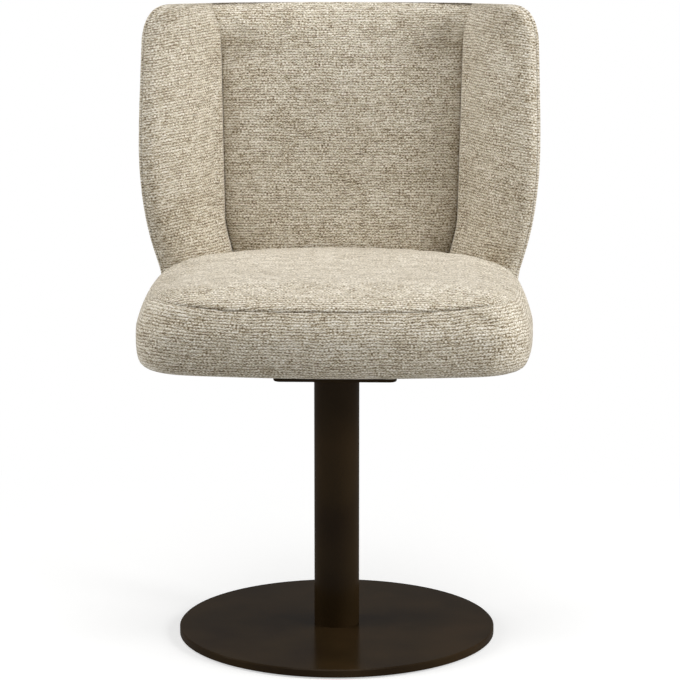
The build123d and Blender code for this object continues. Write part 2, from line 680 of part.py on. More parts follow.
def bracket(side):
    """Steel angle: a toe on the board and a heel rolled to the shell's curve."""
    heel_front = shell_form(shell_wall + BRACKET_SHEET, open_below=True)
    centre = side * BRACKET_SPACING / 2
    x_range = (centre - BRACKET_WIDTH / 2, centre + BRACKET_WIDTH / 2)
    toe_start = shell_y(board_top, BRACKET_SPACING / 2) - shell_wall - BRACKET_TOE
    heel_top = board_top + BRACKET_RISE
    heel = (shell_core - heel_front) & slab(x_range, (toe_start, reach), (board_top, heel_top))
    toe = shell_core & slab(x_range, (toe_start, reach), (board_top, board_top + BRACKET_SHEET))
    screw_holes = [Pos(x, y, 0) * bracket_screw(SCREW_HOLE_CLEARANCE) for x, y in bracket_screw_places()]
    bolt_hole = along_y(BACK_BOLT_SHANK + 2 * SCREW_HOLE_CLEARANCE, -2 * BRACKET_SHEET, OVERCUT)
    return heel + toe - screw_holes - on_shell(bolt_hole)


def bracket_room():
    """Slots in the seat's foam and cover for the brackets, their screw heads and the bolts."""
    rooms = list(on_shell(bolt_passage()))
    for side in (-1, 1):
        centre = side * BRACKET_SPACING / 2
        x_range = (centre - BRACKET_WIDTH / 2 - SOFT_GAP, centre + BRACKET_WIDTH / 2 + SOFT_GAP)
        shell_inside = shell_y(board_top, BRACKET_SPACING / 2) - shell_wall
        toe_start = shell_inside - BRACKET_TOE - SOFT_GAP
        toe_top = board_top + BRACKET_SHEET + BRACKET_SCREW_HEAD_HEIGHT + SOFT_GAP
        heel_edge = (BRACKET_SPACING + BRACKET_WIDTH) / 2
        heel_start = shell_y(board_top, heel_edge) - shell_wall - 2 * BRACKET_SHEET
        heel_top = board_top + BRACKET_RISE + SOFT_GAP
        rooms.append(slab(x_range, (toe_start, reach), (board_top, toe_top)))
        rooms.append(slab(x_range, (heel_start, reach), (board_top, heel_top)))
    return rooms


# ---- Seat ---------------------------------------------------------------------------------------
def seat_board():
    board = extrude(seat_section(BOARD_INSET, board_bottom), amount=BOARD_THICKNESS, dir=(0, 0, 1))
    board -= at_corners(disc(TEE_NUT_BARREL, BOARD_THICKNESS, board_bottom), PLATE_SCREW_SPACING)
    holes = [Pos(x, y, 0) * bracket_screw() for x, y in bracket_screw_places()]
    return board - holes


def dust_cover():
    bottom = board_bottom - DUST_COVER_THICKNESS
    cloth = extrude(seat_section(DUST_COVER_INSET, bottom), amount=DUST_COVER_THICKNESS, dir=(0, 0, 1))
    gap = PLATE_WIDTH + 2 * DUST_COVER_GAP
    return cloth - Pos(0, 0, bottom) * Box(gap, gap, DUST_COVER_THICKNESS, align=FROM_BELOW)


def seat_foam():
    pocket_depth = BOARD_THICKNESS + COVER
    pocket = extrude(seat_section(BOARD_INSET, seat_bottom), amount=pocket_depth, dir=(0, 0, 1))
    return seat_inside - pocket - at_corners(tee_nut_blank(), PLATE_SCREW_SPACING) - bracket_room()


def seat_cover():
    """Both fabric panels together: the skin on the foam, turned under the board's edge."""
    skin = seat_outside - seat_inside
    opening = seat_section(DUST_COVER_INSET, seat_bottom - OVERCUT)
    return skin - extrude(opening, amount=COVER + 2 * OVERCUT, dir=(0, 0, 1)) - bracket_room()


def seat_top_cover():
    seam = seat_bottom + SEAT_SEAM
    return seat_cover() & slab((-reach, reach), (-reach, reach), (seam, seam + SEAT_HEIGHT))


def seat_side_cover():
    seam = seat_bottom + SEAT_SEAM
    return seat_cover() & slab((-reach, reach), (-reach, reach), (seam - SEAT_HEIGHT, seam))


# ---- Back ---------------------------------------------------------------------------------------
def back_frame():
    """Bent plywood shell, drilled for the back bolts."""
    wall = shell_under_padding - shell_core
    tall = slab((-reach, reach), (-reach, reach), (shell_bottom + FRAME_FOOT, crest - FRAME_TOP))
    hole = along_y(BACK_BOLT_SHANK + 2 * SCREW_HOLE_CLEARANCE, -OVERCUT, FRAME_THICKNESS + OVERCUT)
    return (wall & tall) - hollow_form(FRAME_EDGE) - on_shell(hole)


def back_padding(frame):
    """Foam on the frame's outside, wrapped over its front, top and lower edges."""
    heads = on_shell(bolt_passage())
    return shell_under_cover - hollow_under_cover - shell_core - frame - heads


def inner_foam():
    """All foam inside the frame, down to the seat cushion."""
    return (shell_core - hollow_under_cover - seat_room) & above_foam_floor


def inner_covers():
    """All fabric on the back's front side, wings and their front edges included."""
    skin = (hollow_under_cover - hollow) & shell_under_cover
    return skin - seat_room - (shell_core & below_foam_floor)


def outer_back_cover():
    return shell_outside - shell_under_cover - hollow - shell_core - seat_room


def write(name, shape):
    export_step(shape, f"parts/{name}.step")
    print(f"{name}: {len(shape.solids())} solid(s), {shape.volume / 1000:.1f} cm3")


def main():
    os.makedirs("parts", exist_ok=True)
    foam = inner_foam()
    covers = inner_covers()
    frame = back_frame()
    nodes = {
        "floor_pad": floor_pad(),
        "base_plate": base_plate(),
        "foot_screws": group(around(foot_screw(), FOOT_SCREW_COUNT, FOOT_SCREW_CIRCLE)),
        "foot_plug": foot_plug(),
        "column_tube": column_tube(),
        "bearing_housing": bearing_housing(),
        "upper_bush": bush(flange_top - BUSH_LENGTH),
        "lower_bush": bush(housing_bottom),
        "lower_race": race(flange_top),
        "ball_cage": ball_cage(),
        "bearing_balls": bearing_balls(),
        "upper_race": race(hub_bottom - RACE_THICKNESS),
        "spindle": spindle(),
        "spindle_hub": spindle_hub(),
        "retaining_washer": retaining_washer(),
        "retaining_ring": retaining_ring(),
        "swivel_plate": swivel_plate(),
        "plate_screws": group(at_corners(plate_screw(), PLATE_SCREW_SPACING)),
        "plate_washers": group(at_corners(plate_washer(), PLATE_SCREW_SPACING)),
        "tee_nuts": group(at_corners(tee_nut(), PLATE_SCREW_SPACING)),
        "seat_board": seat_board(),
        "dust_cover": dust_cover(),
        "seat_foam": seat_foam(),
        "seat_top_cover": seat_top_cover(),
        "seat_side_cover": seat_side_cover(),
        "back_frame": frame,
        "bracket_left": bracket(-1),
        "bracket_right": bracket(1),
        "bracket_screws": group(Pos(x, y, 0) * bracket_screw() for x, y in bracket_screw_places()),
        "back_bolts": group(on_shell(back_bolt())),
        "back_nuts": group(on_shell(back_nut())),
        "back_foam": foam & middle_block,
        "wing_foam_left": (foam - middle_block) & left_side,
        "wing_foam_right": (foam - middle_block) & right_side,
        "back_padding": back_padding(frame),
        "inner_back_cover": covers & middle_block,
        "wing_cover_left": (covers - middle_block) & left_side,
        "wing_cover_right": (covers - middle_block) & right_side,
        "outer_back_cover": outer_back_cover(),
    }
    for name, shape in nodes.items():
        write(name, shape)


main()
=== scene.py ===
# %% [markdown]
# # An upholstered swivel chair, dressed over its CAD frame
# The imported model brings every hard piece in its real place: base, column, bearing, plate, board and
# screws. This lesson keeps those, gives them their finishes, and sews the soft pieces over the foam and
# fabric solids. All sizes below are in millimetres, because that is how an upholsterer measures, and one
# factor turns them into Blender's metres when a mesh is made.

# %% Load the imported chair
import json
from math import cos, degrees, pi, radians, sin, sqrt, tan
import bmesh
import bpy
import numpy as np
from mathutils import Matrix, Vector


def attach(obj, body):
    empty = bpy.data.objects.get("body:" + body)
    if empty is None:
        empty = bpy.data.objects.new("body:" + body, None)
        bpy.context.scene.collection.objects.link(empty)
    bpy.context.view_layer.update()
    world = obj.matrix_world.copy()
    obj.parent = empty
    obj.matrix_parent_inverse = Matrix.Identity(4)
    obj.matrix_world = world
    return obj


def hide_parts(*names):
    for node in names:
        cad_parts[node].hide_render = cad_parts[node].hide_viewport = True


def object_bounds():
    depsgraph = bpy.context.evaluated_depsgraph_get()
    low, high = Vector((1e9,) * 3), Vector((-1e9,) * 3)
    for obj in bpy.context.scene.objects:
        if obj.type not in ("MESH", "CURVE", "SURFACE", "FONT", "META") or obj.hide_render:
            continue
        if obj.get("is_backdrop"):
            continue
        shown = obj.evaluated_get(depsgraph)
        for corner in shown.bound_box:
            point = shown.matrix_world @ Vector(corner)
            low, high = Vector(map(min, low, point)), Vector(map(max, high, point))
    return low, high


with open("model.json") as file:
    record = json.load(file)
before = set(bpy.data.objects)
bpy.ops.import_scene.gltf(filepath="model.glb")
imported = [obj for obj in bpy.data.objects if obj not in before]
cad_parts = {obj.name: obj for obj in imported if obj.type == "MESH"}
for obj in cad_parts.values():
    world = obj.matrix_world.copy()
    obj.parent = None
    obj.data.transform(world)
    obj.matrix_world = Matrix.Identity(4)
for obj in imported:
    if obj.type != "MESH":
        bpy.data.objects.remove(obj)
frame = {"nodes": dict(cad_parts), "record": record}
cad_box = [list(corner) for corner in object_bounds()]
METRE = 0.001
print("CAD box:", [[round(value, 4) for value in corner] for corner in cad_box])

# %% [markdown]
# ## Where we stand
# The chair is seen from three metres away through a long lens, a little above its crest, so it hardly
# narrows towards the top. The camera has gone 1.8 degrees round the column, because the chair in the picture
# is turned by that much. A long lens suits furniture: near and far parts keep their true proportions.

# %% Camera
CAMERA_DISTANCE = 3000.0
CAMERA_HEIGHT = 913.0
CAMERA_TURN = 1.8            # degrees round the column
CAMERA_ASIDE = 4.3           # to the right of the line through the column
CAMERA_TILT = 9.76           # degrees down
FOCAL_PIXELS = 2306.0
IMAGE_PIXELS = 680.0

lens = bpy.data.cameras.new("camera")
lens.sensor_width = 36.0
lens.lens = FOCAL_PIXELS / IMAGE_PIXELS * lens.sensor_width
camera = bpy.data.objects.new("camera", lens)
turn = radians(CAMERA_TURN)
camera.location = Vector((CAMERA_DISTANCE * sin(turn) + CAMERA_ASIDE * cos(turn),
                          -CAMERA_DISTANCE * cos(turn) + CAMERA_ASIDE * sin(turn), CAMERA_HEIGHT)) * METRE
camera.rotation_euler = (radians(90 - CAMERA_TILT), 0, turn)
bpy.context.scene.collection.objects.link(camera)
bpy.context.scene.camera = camera
print(f"lens: {lens.lens:.1f} mm")

# %% [markdown]
# ## Building finishes from nodes
# A hex value such as #c8bda6 is how a colour looks on screen. Blender mixes light in linear values, so one
# function turns the first into the second. Another adds a node: it sets the node's options, and fills or
# links its inputs, so a finish reads from top to bottom like a recipe. A third ends the recipe: every
# surface here has a colour, a roughness that may follow a pattern, often a relief, and a shader.

# %% Colour and node helpers
def linear(hex_colour):
    """Linear red, green, blue and alpha of an sRGB hex colour."""
    channels = [int(hex_colour[i:i + 2], 16) / 255 for i in (1, 3, 5)]
    return [c / 12.92 if c <= 0.04045 else ((c + 0.055) / 1.055) ** 2.4 for c in channels] + [1.0]


def add(material, kind, inputs, stops=(), **settings):
    """Add a node. An input's value is a number or colour, or a node or socket to link from.

    Stops are the places and hex colours of a colour ramp."""
    node = material.node_tree.nodes.new("ShaderNode" + kind)
    for name, value in settings.items():
        setattr(node, name, value)
    for socket, value in inputs.items():
        if isinstance(value, bpy.types.Node):
            value = value.outputs[0]
        if isinstance(value, bpy.types.NodeSocket):
            material.node_tree.links.new(value, node.inputs[socket])
        else:
            node.inputs[socket].default_value = value
    for i, (place, hex_colour) in enumerate(stops):
        elements = node.color_ramp.elements
        if i < 2:
            elements[i].position = place
        else:
            elements.new(place)
        elements[i].color = linear(hex_colour)
    return node


def new_finish(name):
    """An empty material, ready for its nodes."""
    material = bpy.data.materials.new(name)
    material.use_nodes = True
    material.node_tree.nodes.clear()
    return material


def surface(material, colour, rough, relief, extras):
    """End a material with its shader, whose further inputs are the extras.

    Rough is a number, or a pattern and the roughness at its low and high values. Relief is a pattern, its
    strength and its depth in millimetres, or None."""
    inputs = {"Base Color": colour, "Roughness": rough, **extras}
    if isinstance(rough, tuple):
        inputs["Roughness"] = add(material, "MapRange",
                                  {"Value": rough[0], "To Min": rough[1], "To Max": rough[2]})
    if relief:
        inputs["Normal"] = add(material, "Bump", {"Height": relief[0], "Strength": relief[1],
                                                  "Distance": relief[2] * METRE})
    add(material, "OutputMaterial", {"Surface": add(material, "BsdfPrincipled", inputs)})


# %% [markdown]
# ## The cover: a slub weave
# The fabric is a coarse plain weave of thick, uneven yarns in cream, beige and grey-brown, sold as a
# linen-look melange. A weft yarn lies every 3.8 mm as a level rib, and a warp yarn crosses it every 4.9 mm,
# so each rib is a row of short bright floats with a dark dot between them. The yarn changes its colour along
# its length, which makes the dashes; each of its two plies has shorter flecks of its own, half a rib high;
# and single fibres stand up everywhere, which makes the fine speckle.
# The nodes read a UV map called "cut", in which every panel lies flat in millimetres, as it was cut from the
# roll. That way the ribs keep their true size and follow the cloth round each curve.

# %% Threads of the slub weave
PICK = 3.8                   # mm from rib to rib
END = 4.9                    # mm from warp yarn to warp yarn
DRIFT = 3.0                  # mm that a rib wanders from its straight line
SLUB = 26.0                  # mm of yarn before its colour changes
FLECK = 10.0                 # mm, a shorter change of colour
FIBRE = 1.1                  # mm, coarser than real fibres, so that the speckle shows at this distance
CLOUD = (80.0, 26.0)         # mm along and across the ribs, patches that are a shade lighter or darker
FLOAT_SHARE = 0.14           # how much the floats and dots count beside the rib that they lie on

slub_weave = new_finish("slub_weave")
cut = add(slub_weave, "UVMap", {}, uv_map="cut")
drift = add(slub_weave, "TexNoise", {"Vector": cut, "Scale": 0.016, "Detail": 1.0}, noise_dimensions="2D")
centred = add(slub_weave, "VectorMath", {0: drift.outputs["Color"], 1: (0.5, 0.5, 0.5)}, operation="SUBTRACT")
laid = add(slub_weave, "VectorMath", {0: centred, 1: (DRIFT, 2 * DRIFT, 0.0), 2: cut},
           operation="MULTIPLY_ADD")
counted = add(slub_weave, "VectorMath", {0: laid, 1: (1 / END, 1 / PICK, 0.0)}, operation="MULTIPLY")
count = add(slub_weave, "SeparateXYZ", {0: counted})
row = add(slub_weave, "Math", {0: count.outputs["Y"]}, operation="FLOOR")
shifted = add(slub_weave, "Math", {0: row, 1: 0.5, 2: count.outputs["X"]}, operation="MULTIPLY_ADD")
across_rib = add(slub_weave, "Math", {0: count.outputs["Y"], 1: row}, operation="SUBTRACT")
rib_turn = add(slub_weave, "Math", {0: across_rib, 1: pi}, operation="MULTIPLY")
rib = add(slub_weave, "Math", {0: rib_turn}, operation="SINE")
float_turn = add(slub_weave, "Math", {0: shifted, 1: 2 * pi}, operation="MULTIPLY")
floats = add(slub_weave, "Math", {0: float_turn}, operation="SINE")
thread = add(slub_weave, "Math", {0: floats, 1: FLOAT_SHARE, 2: rib}, operation="MULTIPLY_ADD")

# %% Colours of the slub weave
twice = add(slub_weave, "Math", {0: count.outputs["Y"], 1: 2.0}, operation="MULTIPLY")
ply = add(slub_weave, "Math", {0: twice}, operation="FLOOR")


def streaks(length, lane, seed):
    """A value that changes slowly along each lane, and jumps from one lane to the next."""
    along = add(slub_weave, "Math", {0: count.outputs["X"], 1: END / length}, operation="MULTIPLY")
    apart = add(slub_weave, "Math", {0: lane, 1: seed}, operation="MULTIPLY")
    place = add(slub_weave, "CombineXYZ", {0: along, 1: apart})
    return add(slub_weave, "TexNoise", {"Vector": place, "Scale": 1.0, "Detail": 1.0}, noise_dimensions="2D")


def patches(place, along, across, detail):
    """A value that changes over given shares of a millimetre along and across the ribs."""
    scaled = add(slub_weave, "Mapping", {"Vector": place, "Scale": (along, across, 1.0)})
    return add(slub_weave, "TexNoise", {"Vector": scaled, "Scale": 1.0, "Detail": detail},
               noise_dimensions="2D")


SHARES = ((streaks(SLUB, row, 7.31), 0.32), (streaks(FLECK, ply, 11.87), 0.75),
          (patches(laid, 0.42 / FIBRE, 1.25 / FIBRE, 0.0), 1.35),
          (patches(cut, 1 / CLOUD[0], 1 / CLOUD[1], 2.0), 0.22), (thread, 0.38))
THREAD_MIDDLE = 0.6          # the mean of the thread value; the noises have theirs at 0.5
tone = 0.5 - 0.5 * sum(share for _, share in SHARES[:-1]) - THREAD_MIDDLE * SHARES[-1][1]
for pattern, share in SHARES:
    tone = add(slub_weave, "Math", {0: pattern, 1: share, 2: tone}, operation="MULTIPLY_ADD")
YARNS = [(0.0, "#604f38"), (0.30, "#a39377"), (0.50, "#cfc3ab"), (0.70, "#e7decc"), (1.0, "#fffaf0")]
yarn_colour = add(slub_weave, "ValToRGB", {0: tone}, YARNS)

# %% [markdown]
# Where two panels meet, the cloth dives into the seam. Less light gets in there, and the yarns are pressed
# together, so the meshes carry a value of painted shade that is 1 in the seam and 0 elsewhere, and the finish
# darkens with it: the seams' shade is painted into the colour. It is painted on the surface, so it stays in
# place from every side.

# %% Painted seam shade and relief of the slub weave
painted_shade = add(slub_weave, "Attribute", {}, attribute_name="painted_shade")
# The yarn colour is darkened towards #3d3528 by the painted shade value: shade painted into the seams, beside
# the steps and where the covers meet the cushion.
yarn_with_painted_shade = add(slub_weave, "Mix", {"Factor": painted_shade.outputs["Fac"], 6: yarn_colour, 7: linear("#3d3528")},
                  data_type="RGBA")
surface(slub_weave, yarn_with_painted_shade.outputs[2], 0.92, (thread, 0.7, 0.7),
        {"Specular IOR Level": 0.2, "Sheen Weight": 0.2, "Sheen Roughness": 0.5})
print("slub weave:", len(slub_weave.node_tree.nodes), "nodes")

# %% [markdown]
# ## The pedestal's finish: satin bronze lacquer on steel
# Base, column and plate are mild steel with a dark bronze powder coat. The coat is almost black-brown, its
# surface is slightly grainy from the powder, and the little light that it returns is soft. A dark base colour
# without a gloss of its own gives that, under a thin clear coat. The clear coat draws the key lamp as a warm
# streak down the column, lays a little of the white room over the base, and shows the column's dark image in
# front of its foot.

# %% Satin bronze powder coat
POWDER_GRAIN = 1.2           # mm, drawn coarser than the real 0.2 mm so that it shows at this distance

satin_bronze = new_finish("satin_bronze_powder_coat")
place = add(satin_bronze, "TexCoord", {}).outputs["Object"]
grain = add(satin_bronze, "TexNoise", {"Vector": place, "Scale": 1 / (POWDER_GRAIN * METRE), "Detail": 2.0})
drift = add(satin_bronze, "TexNoise", {"Vector": place, "Scale": 9.0, "Detail": 2.0})
mixed = add(satin_bronze, "Math", {0: grain, 1: 0.25, 2: drift}, operation="MULTIPLY_ADD")
colour = add(satin_bronze, "ValToRGB", {0: mixed}, [(0.40, "#271c10"), (0.62, "#312515"), (0.90, "#3b2c1a")])
surface(satin_bronze, colour, (drift, 0.40, 0.52), (grain, 0.15, 0.1),
        {"Specular IOR Level": 0.0, "Coat Weight": 0.08, "Coat Roughness": 0.18})

# %% [markdown]
# ## Bare and plated metals
# Screws, washers and brackets are zinc-plated: pale, slightly blue-grey, with cloudy crystals. The housing,
# the spindle and their rings are turned on a lathe, which leaves fine rings round the axis. The bearing's
# washers and balls are ground and hardened, so they are the brightest, and the ball cage is pressed brass.

# %% Metals
def lathe_rings(material, pitch):
    """Rings round the column's axis, a given distance in millimetres apart, as a value from 0 to 1."""
    apart = add(material, "SeparateXYZ", {0: add(material, "TexCoord", {}).outputs["Object"]}).outputs
    squares = [add(material, "Math", {0: apart[axis], 1: 2.0}, operation="POWER") for axis in "XY"]
    radius = add(material, "Math", {0: squares[0], 1: squares[1]}, operation="ADD")
    radius = add(material, "Math", {0: radius, 1: 0.5}, operation="POWER")
    along = add(material, "Math", {0: radius, 1: apart["Z"]}, operation="ADD")
    return add(material, "TexNoise", {"W": along, "Scale": 1 / (pitch * METRE), "Detail": 2.0},
               noise_dimensions="1D")


turned_steel = new_finish("turned_steel")
rings = lathe_rings(turned_steel, 0.5)
colour = add(turned_steel, "ValToRGB", {0: rings}, [(0.3, "#a5a5a7"), (0.7, "#c2c2c4")])
surface(turned_steel, colour, (rings, 0.28, 0.42), (rings, 0.2, 0.1), {"Metallic": 1.0})

ground_steel = new_finish("ground_bearing_steel")
rings = lathe_rings(ground_steel, 0.15)
colour = add(ground_steel, "ValToRGB", {0: rings}, [(0.3, "#c6c8cb"), (0.7, "#dcdde0")])
surface(ground_steel, colour, (rings, 0.12, 0.2), None, {"Metallic": 1.0})


def crystal_metal(name, crystal, dull, bright, roughness):
    """A metal whose surface shows cloudy patches about a given number of millimetres across."""
    material = new_finish(name)
    place = add(material, "TexCoord", {}).outputs["Object"]
    crystals = add(material, "TexVoronoi", {"Vector": place, "Scale": 1 / (crystal * METRE)})
    soft = add(material, "TexNoise", {"Vector": place, "Scale": 2 / (crystal * METRE), "Detail": 3.0})
    both = add(material, "Math", {0: crystals.outputs["Distance"], 1: 0.5, 2: soft}, operation="MULTIPLY_ADD")
    colour = add(material, "ValToRGB", {0: both}, [(0.35, dull), (0.9, bright)])
    surface(material, colour, (both, roughness, roughness + 0.15), None, {"Metallic": 1.0})
    return material


zinc_plate = crystal_metal("zinc_plated_steel", 2.5, "#b4b8bd", "#d0d3d6", 0.3)
pressed_brass = crystal_metal("pressed_brass", 4.0, "#b08d4a", "#d2b06c", 0.25)

# %% [markdown]
# ## Plastic, plywood, felt and lining
# The bushes are natural acetal, a slightly waxy white. The board and the back shell are beech plywood: fine
# brown flecks along the grain on the face, and thin light and dark plies on the edge. Under the base sits
# grey-black wool felt, and under the seat a black spunbond lining, which has a fine dimpled net pattern.

# %% Plastic and plywood
acetal = new_finish("natural_acetal")
place = add(acetal, "TexCoord", {}).outputs["Object"]
flow = add(acetal, "TexNoise", {"Vector": place, "Scale": 120.0, "Detail": 2.0})
colour = add(acetal, "ValToRGB", {0: flow}, [(0.3, "#e2e0d8"), (0.7, "#f0eee8")])
surface(acetal, colour, (flow, 0.35, 0.48), None, {"IOR": 1.48})

PLY = 1.5                    # mm
beech_plywood = new_finish("beech_plywood")
place = add(beech_plywood, "TexCoord", {}).outputs["Object"]
stretched = add(beech_plywood, "Mapping", {"Vector": place, "Scale": (40.0, 420.0, 420.0)})
wood_grain = add(beech_plywood, "TexNoise", {"Vector": stretched, "Scale": 1.0, "Detail": 4.0})
height = add(beech_plywood, "SeparateXYZ", {0: place}).outputs["Z"]
plies = add(beech_plywood, "Math", {0: height, 1: pi / (PLY * METRE)}, operation="MULTIPLY")
plies = add(beech_plywood, "Math", {0: plies}, operation="SINE")
facing = add(beech_plywood, "NewGeometry", {}).outputs["Normal"]
upward = add(beech_plywood, "SeparateXYZ", {0: facing}).outputs["Z"]
flatness = add(beech_plywood, "Math", {0: upward}, operation="ABSOLUTE")
edge = add(beech_plywood, "Math", {0: flatness, 1: 0.5}, operation="LESS_THAN")
edge_plies = add(beech_plywood, "Math", {0: plies, 1: edge}, operation="MULTIPLY")
wood_value = add(beech_plywood, "Math", {0: edge_plies, 1: 0.25, 2: wood_grain}, operation="MULTIPLY_ADD")
colour = add(beech_plywood, "ValToRGB", {0: wood_value},
             [(0.2, "#a67f55"), (0.5, "#cba577"), (0.8, "#dfc094")])
surface(beech_plywood, colour, 0.6, (wood_grain, 0.2, 0.3), {})

# %% Felt and lining
NAP = 0.8                    # mm, coarser than real felt fibres so that the nap shows
wool_felt = new_finish("needle_felt")
place = add(wool_felt, "TexCoord", {}).outputs["Object"]
nap = add(wool_felt, "TexNoise",
          {"Vector": place, "Scale": 1 / (NAP * METRE), "Detail": 4.0, "Distortion": 1.5})
colour = add(wool_felt, "ValToRGB", {0: nap}, [(0.35, "#141413"), (0.7, "#2c2b29")])
surface(wool_felt, colour, 0.95, (nap, 0.6, 0.4), {"Specular IOR Level": 0.1, "Sheen Weight": 0.3})

DIMPLE = 1.6                 # mm between the spunbond's welded dots
spunbond = new_finish("black_spunbond")
place = add(spunbond, "TexCoord", {}).outputs["Object"]
dimples = add(spunbond, "TexVoronoi", {"Vector": place, "Scale": 1 / (DIMPLE * METRE), "Randomness": 0.15})
dimples = dimples.outputs["Distance"]
colour = add(spunbond, "ValToRGB", {0: dimples}, [(0.15, "#0b0b0b"), (0.5, "#1d1d1d")])
surface(spunbond, colour, 0.85, (dimples, 0.5, 0.3), {"Specular IOR Level": 0.2})

# %% [markdown]
# ## Dressing the hard pieces
# Every CAD node that stays brings the name of its slot from the record. A table from slot to finish is all
# that is needed: nothing moves, and no mesh changes.

# %% Assign the finishes to the CAD nodes
FINISHES = {"bronze_paint": satin_bronze, "steel": turned_steel, "zinc_steel": zinc_plate,
            "bearing_steel": ground_steel, "cage_brass": pressed_brass, "bush_plastic": acetal,
            "plywood": beech_plywood, "felt": wool_felt, "black_lining": spunbond,
            "woven_fabric": slub_weave, "foam": slub_weave}
slot_of = {part["node"]: part["material_slot"] for part in frame["record"]["subparts"]}
for node, piece in frame["nodes"].items():
    for place in piece.material_slots:
        place.material = FINISHES[slot_of[node]]
print("dressed nodes:", len(frame["nodes"]))

# %% [markdown]
# ## The back's shape, section by section
# The back is a bent plywood shell with foam on both sides, so its cover is easiest to draw as a stack of
# level sections. The outside of a section is a chain of arcs: a bowed side, a corner and a rear arc. The
# inside steps forward from the inner back to each wing, runs along the wing's face and turns round its nose.

# %% Sizes of the back
SEAT_WIDTH, SEAT_DEPTH, SEAT_FRONT = 508.0, 453.0, 238.0
SEAT_BOTTOM, SEAT_SEAM, SEAT_TOP = 385.0, 470.0, 497.0
FRONT_RADIUS, SIDE_RADIUS = 1000.0, 900.0
FRONT_TURN, SIDE_TURN, TAIL_TURN = 11.0, 8.0, 4.0
SHELL_WALL = 21.5            # fabric, outer foam and plywood
SHELL_GAP = 1.0
SHOULDER, WAIST, CREST = 471.0, 651.0, 832.0
RECLINE = 9.5                # degrees
WAIST_SPREAD = 3.0           # how much each side stands out further at the waist than at the seat
CREST_RADIUS, BROW_RADIUS, HEM_RADIUS = 26.0, 15.0, 10.0
CORNER_WIDTH, CORNER_HEIGHT = 30.0, 50.0     # the sides round into the crest on an ellipse
NOSE_RADIUS, NOSE_OVERRUN, WING_CROWN = 20.0, 4.0, 12.0
NOSE_SEAT, NOSE_WAIST, NOSE_CREST = 130.0, 184.0, 175.0      # from the rear to the nose, at three levels
NOSE_SOFT = 16.0             # how softly the nose starts forward at the shoulder

# A pair is the size at the cushion's top and the size at the crest.
STEP = (33.0, 26.0)          # how far the wing's edge stands proud of the inner back
STEP_LEAST, STEP_FADE, STEP_END = 1.5, 62.0, 814.0           # the step fades out below this end
EDGE_WIDTH = (159.8, 169.0)  # from the middle to the wing's inner edge
CURL, CURL_REACH, CURL_TOP = 11.0, 70.0, 540.0               # just above the cushion the edges curl in
PARTING, PARTING_REACH, PARTING_LOW = 10.0, 48.0, 788.0      # and below the crest they part
EDGE_WALL = (54.0, 45.0)     # from the shell's outside to the wing's edge, and to the inner back's middle
BACK_WALL = (60.0, 45.0)
LEAN, LEAN_SOFT, LEAN_LEVEL = 3.5, 40.0, 690.0               # degrees that the inner faces lean back, above
BELLY, BELLY_REACH, BELLY_LOW = 2.0, 210.0, 480.0            # and how far they swell forward below that
LIP_SHARE = 0.3              # the lip's radius, as a share of the step
SEAM_ON_NOSE = 8.0           # the side seam's place on the nose, past the widest line
SEAT_REAR = SEAT_DEPTH - SEAT_FRONT


def ease(value):
    """Smooth step from 0 to 1, for a number or an array."""
    u = np.clip(value, 0.0, 1.0)
    return u * u * (3 - 2 * u)


def rise(height):
    """0 at the cushion's top and 1 at the crest."""
    return min(max((height - SEAT_TOP) / (CREST - SEAT_TOP), 0.0), 1.0)


def between(pair, share):
    """A value between the two of a pair."""
    return pair[0] + (pair[1] - pair[0]) * share


def above(height, level, soft=30.0):
    """How far a height is above a level, with a soft start, as foam under cloth never makes a sharp bend."""
    return (height - level + sqrt((height - level) ** 2 + soft ** 2)) / 2 - soft * soft / (4 * 300)


def rear_arcs(half_width, depth, bow):
    """Radii of the corner arc and the rear arc that follow a bowed side."""
    tail, s = radians(TAIL_TURN), sqrt(0.5)
    width_left = half_width - bow * (1 - cos(tail))
    depth_left = depth - bow * sin(tail)
    corner_width, corner_depth = cos(tail) - s, s - sin(tail)
    corner = (s * depth_left - (1 - s) * width_left) / (s * corner_depth - (1 - s) * corner_width)
    return corner, (width_left - corner_width * corner) / s


front, side = radians(FRONT_TURN), radians(SIDE_TURN)
seat_corner = ((SEAT_WIDTH / 2 - FRONT_RADIUS * sin(front) - SIDE_RADIUS * (1 - cos(side)))
               / (cos(side) - sin(front)))
seat_widest = (FRONT_RADIUS * (1 - cos(front)) + seat_corner * (cos(front) - sin(side))
               + SIDE_RADIUS * sin(side) - SEAT_FRONT)
shell_depth = SEAT_REAR - seat_widest + SHELL_GAP + SHELL_WALL
print(f"seat: front corner radius {seat_corner:.1f} mm, widest {seat_widest:.1f} mm ahead of the axis")


# %% Arcs of one section
def shell_rear(height):
    """Y of the outside on the centre line."""
    return SEAT_REAR + SHELL_GAP + SHELL_WALL + above(height, SHOULDER) * tan(radians(RECLINE))


def shell_arcs(height, inset=0.0, side_inset=0.0):
    """Radii of the corner arc and the rear arc, and the corner arc's centre."""
    spread = WAIST_SPREAD * ease((height - SHOULDER) / (WAIST - SHOULDER))
    half = SEAT_WIDTH / 2 + SHELL_GAP + SHELL_WALL + spread - inset - side_inset
    bow = SIDE_RADIUS + SHELL_GAP + SHELL_WALL - inset
    corner, rear = rear_arcs(half, shell_depth - inset, bow)
    tail = radians(TAIL_TURN)
    centre = (half - bow * (1 - cos(tail)) - corner * cos(tail),
              shell_rear(height) - shell_depth + (bow - corner) * sin(tail))
    return corner, rear, centre


def rounding(height, radius, level):
    """Inset at a height where a form rounds over, with a given radius, up to a level."""
    into = min(max(height - (level - radius), 0.0), radius)
    return radius - sqrt(radius * radius - into * into)


def wing_step(height):
    """How far the wing's inner edge stands ahead of the inner back; it closes just below the crest."""
    return STEP_LEAST + between(STEP, rise(height)) * ease((STEP_END - height) / STEP_FADE)


